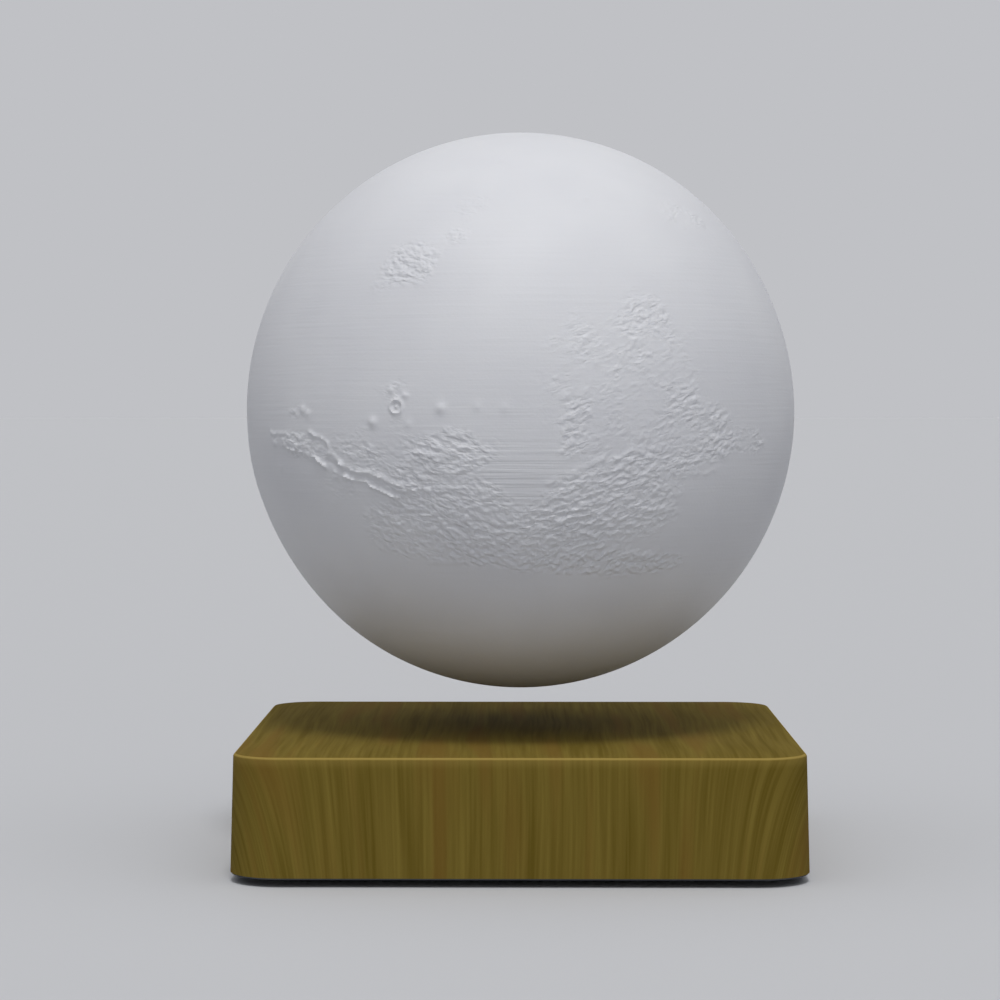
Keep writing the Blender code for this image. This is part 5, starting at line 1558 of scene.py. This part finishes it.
@dataclass
class Housing:
    """The wood-finished housing of the base: drafted walls, round corners and a hollow underside."""

    half: float = 0.0741
    rim_z: float = 0.0020
    top_z: float = 0.0328
    ceiling_z: float = 0.0303
    draft: float = math.tan(math.radians(1.5))
    corner: float = 0.0135
    wall: float = 0.0025
    edge_radius: float = 0.0009
    chamfer: float = 0.0004
    corner_steps: int = 24
    side_steps: int = 30
    edge_steps: int = 6
    wall_steps: int = 8
    lean_reach: float = 0.0110
    socket_z: float = SOCKET_Z
    socket_sides: int = 64
    pocket_radius: float = 0.0071
    pocket_depth: float = 0.0013
    hole_radius: float = 0.0045
    pad_radius: float = 0.0082
    boss_radius: float = 0.0040
    boss_sides: int = 32
    boss_place: float = SCREW_PLACE
    boss_end: float = 0.0052
    pilot_radius: float = SCREW_HOLE
    pilot_sides: int = 24
    pilot_top: float = 0.0139
    gusset: float = 0.0014
    gusset_drop: float = 0.0100
    rib_radius: float = 0.0493
    rib_sides: int = 96
    rib_width: float = 0.0012
    rib_end: float = 0.0282

    def half_at(self, z: float) -> float:
        """Gives half of the outer width at a height."""
        return self.half - (z - self.rim_z) * self.draft

    def ring(self, z: float, inset: float) -> list[Point]:
        """Draws the outline at a height, drawn in by an inset."""
        half, radius = self.half_at(z) - inset, self.corner - (self.half - self.half_at(z)) - inset
        return at_height(rounded_square(half, radius, self.corner_steps, self.side_steps), z)

    def skin(self) -> Piece:
        """Builds the bare housing with its film's UV map.

        Returns:
            The housing before its inner parts and its socket hole.
        """
        edge, shoulder, base = self.edge_radius, self.top_z - self.edge_radius, self.rim_z + self.chamfer
        rings = [self.ring(z, self.wall) for z in (self.ceiling_z, self.rim_z)]
        rings.append(self.ring(self.rim_z, self.chamfer))
        for k in range(self.wall_steps):
            rings.append(self.ring(base + (shoulder - base) * k / self.wall_steps, 0.0))
        for reach, z in arc((0.0, shoulder), edge, 0.0, QUARTER, self.edge_steps):
            rings.append(self.ring(z, edge - reach))
        housing = Draft().join(rings).piece("wood_housing")
        self.unwrap(housing, rings)
        return housing

    def unwrap(self, housing: Piece, rings: list[list[Point]]) -> None:
        """Lays the film over the housing, as one sheet that is drawn down over its edges.

        The grain runs from front to back on the top. Over the front and the back it turns down, and
        along the sides it stays level. At each corner the sheet is drawn down at a slant, so the
        grain leans there.

        Args:
            housing: The housing.
            rings: Its rings of points, from the ceiling inside to the top outside.
        """
        top = [Vector(p) for p in rings[-1]]
        count = len(top)
        lengths = [0.0]
        for k in range(1, count + 1):
            lengths.append(lengths[-1] + (top[k % count] - top[k - 1]).length)
        around = lengths[-1]
        middles = [lengths[count // 4 * quarter + self.corner_steps // 2] for quarter in range(4)]
        pulls = []
        for k in range(count):
            gaps = [(lengths[k] - m + around / 2) % around - around / 2 for m in middles]
            quarter = min(range(4), key=lambda q: abs(gaps[q]))
            swing = 1.0 - math.exp(-abs(gaps[quarter]) / self.lean_reach)
            angle = math.radians(45.0 + 90.0 * quarter + math.copysign(45.0 * swing, gaps[quarter]))
            pulls.append(Vector((math.cos(angle), math.sin(angle), 0.0)))
        sheet: list[tuple[float, float]] = []
        for number in range(len(rings)):
            bands = list(zip(rings[number + 1 :], rings[number:]))
            for k in range(count):
                down = sum((Vector(upper[k]) - Vector(lower[k])).length for upper, lower in bands)
                spot = top[k] + pulls[k] * down
                sheet.append((spot.x, spot.y))
        layer = housing.data.uv_layers.new(name="film")
        for loop in housing.data.loops:
            layer.data[loop.index].uv = sheet[loop.vertex_index]

    def posts(self, name: str, radius: float, sides: int, low: float, high: float) -> Piece:
        """Builds an upright round post in the place of each boss.

        Args:
            name: The name of the shape.
            radius: Each post's radius.
            sides: How many sides each has.
            low: Their lower end.
            high: Their upper end.

        Returns:
            The four posts as one shape.
        """
        draft = Draft()
        for x, y, _ in corners(self.boss_place):
            draft.join([at_height(circle(radius, sides, (x, y)), z) for z in (low, high)])
        return draft.piece(name)

    def inside(self) -> Piece:
        """Builds the bosses, gussets and coil rib as one tool.

        Returns:
            The solids that are added inside the housing.
        """
        top, spot, thin = self.ceiling_z + OVERRUN, self.boss_place, self.gusset / 2
        long = (self.half_at(self.ceiling_z) - self.wall / 2 - spot) / 2
        tool = self.posts("boss_tool", self.boss_radius, self.boss_sides, self.boss_end, top)
        for x, y, half_x, half_y in ((spot + long, spot, long, thin), (spot, spot + long, thin, long)):
            draft = Draft()
            for centre_x, centre_y, _ in corners(x, y):
                outline = [(centre_x + a, centre_y + b) for a, b, _ in corners(half_x, half_y)]
                draft.join([at_height(outline, z) for z in (self.ceiling_z - self.gusset_drop, top)])
            tool = combined(tool, draft.piece("gusset_tool"), "UNION")
        inner, outer, end = self.rib_radius - self.rib_width, self.rib_radius, self.rib_end
        rib = Draft().revolve([(inner, end), (outer, end), (outer, top), (inner, top)], self.rib_sides)
        return combined(tool, rib.piece("rib_tool"), "UNION")

    def open_back(self, housing: Piece) -> Piece:
        """Adds the pad behind the back wall, and cuts the socket's hole and the pocket of its flange.

        Args:
            housing: The housing.

        Returns:
            The housing with its socket hole.
        """
        wide, pocket, hole = self.pad_radius, self.pocket_radius, self.hole_radius
        floor_y = self.half_at(self.socket_z) - self.pocket_depth
        pad_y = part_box("socket_nut")[1].y + CLEARANCE
        deep = floor_y - pad_y
        start = pad_y - OVERRUN
        floor, end = floor_y - start, floor_y - start + self.pocket_depth + OVERRUN
        cut = [(0.0, 0.0), (hole, 0.0), (hole, floor), (pocket, floor), (pocket, end), (0.0, end)]
        for name, profile, y, operation in (
            ("pad_tool", [(0.0, 0.0), (wide, 0.0), (wide, deep), (0.0, deep)], pad_y, "UNION"),
            ("socket_cutter", cut, start, "DIFFERENCE"),
        ):
            tool = Draft().revolve(profile, self.socket_sides, out_of_back(y, self.socket_z)).piece(name)
            housing = combined(housing, tool, operation)
        return housing

    def build(self) -> Piece:
        """Builds the whole housing.

        Returns:
            The finished piece.
        """
        housing = self.open_back(combined(self.skin(), self.inside(), "UNION"))
        low = self.boss_end - OVERRUN
        pilots = self.posts("pilot_cutter", self.pilot_radius, self.pilot_sides, low, self.pilot_top)
        return combined(housing, pilots, "DIFFERENCE")

    def make(self) -> None:
        """Builds and places the housing."""
        place(dress(self.build(), WOOD_FILM), "base", "wood_film", "base_housing")


@dataclass
class Underside:
    """What the base shows from below, apart from its screws: the plate with its vents, and the feet."""

    plate_z: float = 0.0024
    thickness: float = 0.0025
    half: float = 0.0712
    corner: float = 0.0107
    chamfer: float = 0.0005
    corner_steps: int = 16
    foot_place: float = 0.0506
    foot_radius: float = 0.0060
    foot_top: float = 0.0031
    foot_edge: float = 0.0007
    foot_groove: tuple[float, ...] = (0.62, 0.66, 0.70, 0.74)
    foot_groove_depth: float = 0.00025
    foot_pocket: float = 0.0063
    foot_pocket_depth: float = 0.0010
    screw_place: float = SCREW_PLACE
    screw_pocket: float = 0.0030
    screw_pocket_depth: float = 0.0015
    screw_hole: float = SCREW_HOLE
    vent_length: float = 0.0220
    vent_width: float = 0.0022
    vent_pitch: float = 0.0062
    vent_count: int = 4
    vent_row: float = 0.0220
    pillar_radius: float = 0.0036
    pillar_top: float = 0.0079
    pilot_top: float = 0.0100
    hole_sides: int = 24
    post_sides: int = 32
    foot_sides: int = 48
    vent_steps: int = 8
    foot_steps: int = 6

    def build_plate(self, repeat: RepeatRule) -> Piece:
        """Builds the plate with its pockets, holes, vents and pillars.

        Args:
            repeat: The rule that sets a shape at points.

        Returns:
            The finished plate.
        """
        low, thick = self.plate_z, self.thickness
        narrow = rounded_square(self.half - self.chamfer, self.corner - self.chamfer, self.corner_steps)
        full = rounded_square(self.half, self.corner, self.corner_steps)
        levels = ((narrow, low), (full, low + self.chamfer), (full, low + thick))
        plate = Draft().join([at_height(outline, z) for outline, z in levels]).piece("base_plate")
        first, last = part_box("stack_screw_1")
        pillars = corners(abs(first.x + last.x) / 2, abs(first.y + last.y) / 2, low + thick)
        post, drill = circle(self.pillar_radius, self.post_sides), circle(self.screw_hole, self.hole_sides)
        pillar = prism("pillar", post, -OVERRUN, self.pillar_top - low - thick)
        pilot = prism("pilot", drill, -thick / 2, self.pilot_top)
        wide, hole, step, end = self.screw_pocket, self.screw_hole, self.screw_pocket_depth, thick + OVERRUN
        profile = [(0.0, -OVERRUN), (wide, -OVERRUN), (wide, step), (hole, step), (hole, end), (0.0, end)]
        screw = Draft().revolve(profile, self.post_sides).piece("screw_pocket")
        seat = circle(self.foot_pocket, self.foot_sides)
        foot = prism("foot_pocket", seat, -OVERRUN, self.foot_pocket_depth)
        end_radius, straight = self.vent_width / 2, self.vent_length / 2 - self.vent_width / 2
        outline = arc((0.0, straight), end_radius, 0.0, math.pi, self.vent_steps)
        outline += arc((0.0, -straight), end_radius, math.pi, math.tau, self.vent_steps)
        vent = prism("vent", outline, -OVERRUN, end)
        across = [(k - (self.vent_count - 1) / 2) * self.vent_pitch for k in range(self.vent_count)]
        vents = [(x, row * self.vent_row, low) for row in (-1, 1) for x in across]
        for name, places, tool, operation in (
            ("pillars", pillars, pillar, "UNION"),
            ("pilots", pillars, pilot, "DIFFERENCE"),
            ("screw_pockets", corners(self.screw_place, z=low), screw, "DIFFERENCE"),
            ("foot_pockets", corners(self.foot_place, z=low), foot, "DIFFERENCE"),
            ("vents", vents, vent, "DIFFERENCE"),
        ):
            plate = combined(plate, repeat.at(name, places, tool, BLACK_ABS), operation)
        return plate

    def build_feet(self, repeat: RepeatRule) -> Piece:
        """Builds the four feet: low rubber domes with a worn round edge and a shallow ring.

        Args:
            repeat: The rule that sets a shape at points.

        Returns:
            All four feet as one piece.
        """
        edge, radius = self.foot_edge, self.foot_radius
        heights = (0.0, self.foot_groove_depth, self.foot_groove_depth, 0.0)
        profile: Outline = [(0.0, 0.0)]
        profile += [(radius * share, height) for share, height in zip(self.foot_groove, heights)]
        profile += arc((radius - edge, edge), edge, -QUARTER, 0.0, self.foot_steps)
        profile += [(radius, self.foot_top), (0.0, self.foot_top)]
        foot = Draft().revolve(profile, self.foot_sides).piece("foot")
        return repeat.at("rubber_feet", corners(self.foot_place), foot, RUBBER)

    def make(self, repeat: RepeatRule) -> None:
        """Builds and places the plate and the feet.

        Args:
            repeat: The rule that sets a shape at points.
        """
        place(dress(self.build_plate(repeat), BLACK_ABS), "base", "black_abs", "bottom_plate")
        feet = [f"rubber_foot_{k}" for k in range(1, 5)]
        place(self.build_feet(repeat), "base", "black_rubber", *feet)


@dataclass
class ScrewKind:
    """One kind of screw: a pan head with a cross recess and a threaded shank."""

    nodes: str
    count: int
    body: str
    head_radius: float
    head_height: float
    shank_radius: float
    head_down: bool
    seed: int
    thread_pitch: float = 0.0008
    sides: int = 24
    dome_steps: int = 6
    root_share: float = 0.78
    point_share: float = 0.35
    arm_share: float = 0.62
    slot_share: float = 0.13
    arm_taper: float = 0.4
    floor_share: float = 0.25
    mouth_share: float = 1.2

    def build(self) -> Piece:
        """Builds one screw round its own axis, with its seat at height 0 and its head up.

        Returns:
            The screw.
        """
        low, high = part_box(f"{self.nodes}_1")
        shank, head, tall = self.shank_radius, self.head_radius, self.head_height
        length = high.z - low.z - tall
        dome, root = tall / 2, shank * self.root_share
        turns = max(2, int((length - shank) / self.thread_pitch))
        pitch = (length - shank) / turns
        profile: Outline = [(0.0, -length), (shank * self.point_share, -length), (root, shank - length)]
        for k in range(turns):
            start = shank - length + k * pitch
            profile += [(shank, start + pitch / 2), (root, start + pitch)]
        top = arc((head - dome, tall - dome), dome, 0.0, QUARTER, self.dome_steps)[:-1]
        profile += [(head, 0.0), *top, (0.0, tall)]
        screw = Draft().revolve(profile, self.sides).piece("screw")
        arm, slot = head * self.arm_share, head * self.slot_share
        ends = ((arm * self.arm_taper, tall * self.floor_share), (arm, tall * self.mouth_share))
        for turned in (False, True):
            rings = []
            for reach, z in ends:
                outline = [(-y, x) if turned else (x, y) for x, y, _ in corners(reach, slot)]
                rings.append(at_height(outline, z))
            screw = combined(screw, Draft().join(rings).piece("recess"), "DIFFERENCE")
        if self.head_down:
            screw.data.transform(Matrix.Rotation(math.pi, 4, "X"))
        return screw

    def make(self, repeat: RepeatRule) -> None:
        """Builds and places all screws of this kind as one piece.

        Args:
            repeat: The rule that sets a shape at points.
        """
        names = [f"{self.nodes}_{k}" for k in range(1, self.count + 1)]
        places = []
        for name in names:
            low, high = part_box(name)
            seat = low.z + self.head_height if self.head_down else high.z - self.head_height
            places.append(((low.x + high.x) / 2, (low.y + high.y) / 2, seat))
        screws = repeat.at(self.nodes + "s", places, self.build(), ZINC, QUARTER, self.seed)
        place(screws, self.body, "zinc_steel", *names)


SCREWS = (
    ScrewKind("plate_screw", 4, "base", 0.0027, 0.0013, 0.0014, True, 11),
    ScrewKind("stack_screw", 4, "base", 0.0027, 0.0013, 0.0014, False, 12),
    ScrewKind("carrier_screw", 3, "globe", 0.0017, 0.0010, 0.0008, False, 13, 0.0005),
)


@dataclass
class PowerInlet:
    """The round low-voltage inlet in the back wall: a flanged body, its centre pin and its nut."""

    height: float = SOCKET_Z
    flange_radius: float = 0.0068
    flange: float = 0.0018
    flange_edge: float = 0.00045
    groove_inset: float = 0.0012
    groove_slope: float = 0.0002
    groove_depth: float = 0.0003
    body_radius: float = 0.0042
    bore_radius: float = 0.0031
    bore_depth: float = 0.0100
    bevel: float = 0.0005
    bevel_depth: float = 0.0006
    pin_radius: float = 0.00105
    pin_recess: float = 0.0012
    pin_sides: int = 32
    tip_steps: int = 8
    edge_steps: int = 5
    sides: int = 72

    def build_body(self, face: float, depth: float) -> Piece:
        """Builds the body with a stepped flange and a chamfered bore.

        Args:
            face: How far back the flange's face lies.
            depth: The body's whole length.

        Returns:
            The body.
        """
        bore, body, rim = self.bore_radius, self.body_radius, self.flange_radius
        inner, outer, slope = bore + self.groove_inset, rim - self.groove_inset, self.groove_slope
        floor, edge, hole = -self.groove_depth, self.flange_edge, self.pin_radius + CLEARANCE
        profile: Outline = [(bore, -self.bevel_depth), (bore + self.bevel, 0.0), (inner, 0.0)]
        profile += [(inner + slope, floor), (outer, floor), (outer + slope, 0.0)]
        profile += arc((rim - edge, -edge), edge, QUARTER, 0.0, self.edge_steps)
        profile += [(rim, -self.flange), (body, -self.flange), (body, -depth), (hole, -depth)]
        profile += [(hole, -self.bore_depth), (bore, -self.bore_depth)]
        return Draft().revolve(profile, self.sides, out_of_back(face, self.height)).piece("inlet_body")

    def build_pin(self, face: float, tail: float) -> Piece:
        """Builds the pin with a round tip.

        Args:
            face: How far back the flange's face lies.
            tail: How deep the pin's tail ends, seen from the face.

        Returns:
            The pin.
        """
        radius, tip = self.pin_radius, -self.pin_recess
        profile: Outline = [(0.0, -tail), (radius, -tail)]
        profile += [*arc((0.0, tip - radius), radius, 0.0, QUARTER, self.tip_steps)[:-1], (0.0, tip)]
        return Draft().revolve(profile, self.pin_sides, out_of_back(face, self.height)).piece("inlet_pin")

    def build_nut(self) -> Piece:
        """Builds the hexagon nut, whose flats lie as the solid's do.

        Returns:
            The nut.
        """
        low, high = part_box("socket_nut")
        wide, depth, tall = high - low
        corner = min(wide, tall) / 2 / math.cos(math.radians(30.0))
        turn = Matrix.Rotation(math.radians(30.0 if tall > wide else 0.0), 4, "Z")
        placed = out_of_back(low.y, self.height) @ turn
        nut = prism("inlet_nut", circle(corner, 6), 0.0, depth, placed)
        bore = circle(self.body_radius + CLEARANCE, self.sides)
        return combined(nut, prism("nut_hole", bore, -OVERRUN, depth + OVERRUN, placed), "DIFFERENCE")

    def make(self) -> None:
        """Builds and places the inlet's three pieces."""
        low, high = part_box("power_socket")
        body = self.build_body(high.y, high.y - low.y)
        place(dress(body, BLACK_ABS), "base", "black_abs", "power_socket")
        pin = self.build_pin(high.y, high.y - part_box("socket_pin")[0].y)
        place(dress(pin, NICKEL), "base", "nickel", "socket_pin")
        place(dress(self.build_nut(), ZINC), "base", "zinc_steel", "socket_nut")


@dataclass
class InnerParts:
    """The parts inside the base and the globe, which keep the frame's meshes and get their finish here."""

    finishes: tuple[tuple[Finish, tuple[str, ...]], ...] = (
        (BLACK_ABS, ("magnet_tray", "transmitter_former")),
        (WHITE_ABS, ("magnet_carrier", "coil_bobbin_")),
        (EPOXY, ("controller_chip", "power_inductor", "bridge_rectifier", "led_driver_chip")),
        (ZINC, ("steel_backplate",)),
        (NICKEL, ("float_magnet", "ring_magnet_")),
        (COPPER_FOIL, ("touch_pad",)),
        (COPPER_WIRE, ("transmitter_coil", "receiver_coil", "coil_winding_")),
        (RED_WIRE, ("supply_lead_positive",)),
        (BLACK_WIRE, ("supply_lead_negative",)),
        (GREY_WIRE, ("touch_lead",)),
    )
    board_thickness: dict[str, float] = field(
        default_factory=lambda: {"control_board": 0.0016, "hall_sensor_board": 0.0010, "led_board": 0.0016}
    )
    mask_margin: float = 0.0001
    sleeve_rim: float = 0.0004

    def finish_of(self, name: str) -> Finish:
        """Picks the finish of a node that keeps its mesh.

        Args:
            name: The node's name.

        Returns:
            Its finish.
        """
        for finish, starts in self.finishes:
            if name.startswith(starts):
                return finish
        low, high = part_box(name)
        if name not in self.board_thickness:
            return ShrinkSleeve(f"shrink_sleeve_{name}", "#1a2248", 0.28, high.z - self.sleeve_rim)
        top = low.z + self.board_thickness[name] + self.mask_margin
        if name == "led_board":
            return CircuitBoard("white_solder_mask", "#e4e4e0", 0.32, "#e9d98a", top, "#d4d4cf")
        return CircuitBoard(f"green_solder_mask_{name}", "#14522c", 0.30, mask_top=top)

    def make(self) -> None:
        """Dresses each node of the frame that is still shown."""
        for name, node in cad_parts.items():
            if not node.hide_render:
                finish = self.finish_of(name)
                dress(node, finish)
                LOG.info("%s: %s", name, finish.name)


# The studio


@dataclass(frozen=True)
class SoftLight:
    """A soft lamp as wide as a softbox: where it stands in degrees, how wide it looks and its strength."""

    name: str
    azimuth: float
    elevation: float
    width: float
    strength: float

    def build(self) -> None:
        """Sets the lamp, pointed at the middle of the scene."""
        data = bpy.data.lights.new(self.name, "SUN")
        data.angle = math.radians(self.width)
        data.energy = self.strength
        light = in_scene(self.name, data)
        turn, rise = math.radians(self.azimuth), math.radians(self.elevation)
        spot = Vector((math.sin(turn) * math.cos(rise), -math.cos(turn) * math.cos(rise), math.sin(rise)))
        light.location = spot
        light.rotation_euler = spot.to_track_quat("Z", "Y").to_euler()


@dataclass
class Studio:
    """A pale floor and backdrop, soft light from above and the camera of the photograph."""

    lens: float = 108.4
    sensor: float = 36.0
    nearest: float = 0.01
    eye: Point = (0.0015, -0.8282, 0.1207)
    tilt: float = math.radians(90.0 - 1.743)
    pan: float = math.radians(0.491)
    floor_half: float = 40.0
    backdrop: str = "#c0c1c5"
    dim: float = 0.316
    lamps: tuple[SoftLight, ...] = (
        SoftLight("key_softbox", 5.0, 64.0, 14.0, 1.15),
        SoftLight("overhead_softbox", 8.0, 80.0, 95.0, 0.98),
        SoftLight("front_softbox", 5.0, 6.0, 55.0, 0.38),
    )

    def build_floor(self) -> None:
        """Lays the pale floor."""
        mesh = bpy.data.meshes.new("studio_floor")
        mesh.from_pydata(corners(self.floor_half), [], [(0, 1, 2, 3)])
        floor = dress(linked("studio_floor", mesh), PAPER)

    def build_world(self) -> None:
        """Sets a dim world that the camera sees as a pale backdrop."""
        world = bpy.data.worlds.new("studio_world")
        world.use_nodes = True
        tree = world.node_tree
        tree.nodes.clear()
        seen = looked_at(tree, "Is Glossy Ray")
        strength = add(tree, "MapRange", {"Value": seen, "To Min": self.dim, "To Max": 1.0})
        light = add(tree, "Background", {"Color": linear(self.backdrop), "Strength": strength})
        add(tree, "OutputWorld", {"Surface": light})
        bpy.context.scene.world = world

    def build_camera(self) -> None:
        """Sets the camera where the photograph was taken from."""
        data = bpy.data.cameras.new("photo_camera")
        data.lens = self.lens
        data.sensor_width = self.sensor
        data.clip_start = self.nearest
        camera = in_scene("photo_camera", data)
        camera.location = self.eye
        camera.rotation_euler = (self.tilt, 0.0, self.pan)
        bpy.context.scene.camera = camera

    def make(self) -> None:
        """Builds the floor, the lamps, the world and the camera."""
        self.build_floor()
        for lamp in self.lamps:
            lamp.build()
        self.build_world()
        self.build_camera()
        bpy.context.scene.view_settings.view_transform = "Standard"


def main() -> None:
    """Builds each sub-assembly in order."""
    logging.basicConfig(level=logging.INFO, format="%(name)s: %(message)s")
    repeat = RepeatRule()
    Globe().make()
    Housing().make()
    Underside().make(repeat)
    PowerInlet().make()
    for kind in SCREWS:
        kind.make(repeat)
    InnerParts().make()
    Studio().make()


if __name__ == "__main__":
    main()
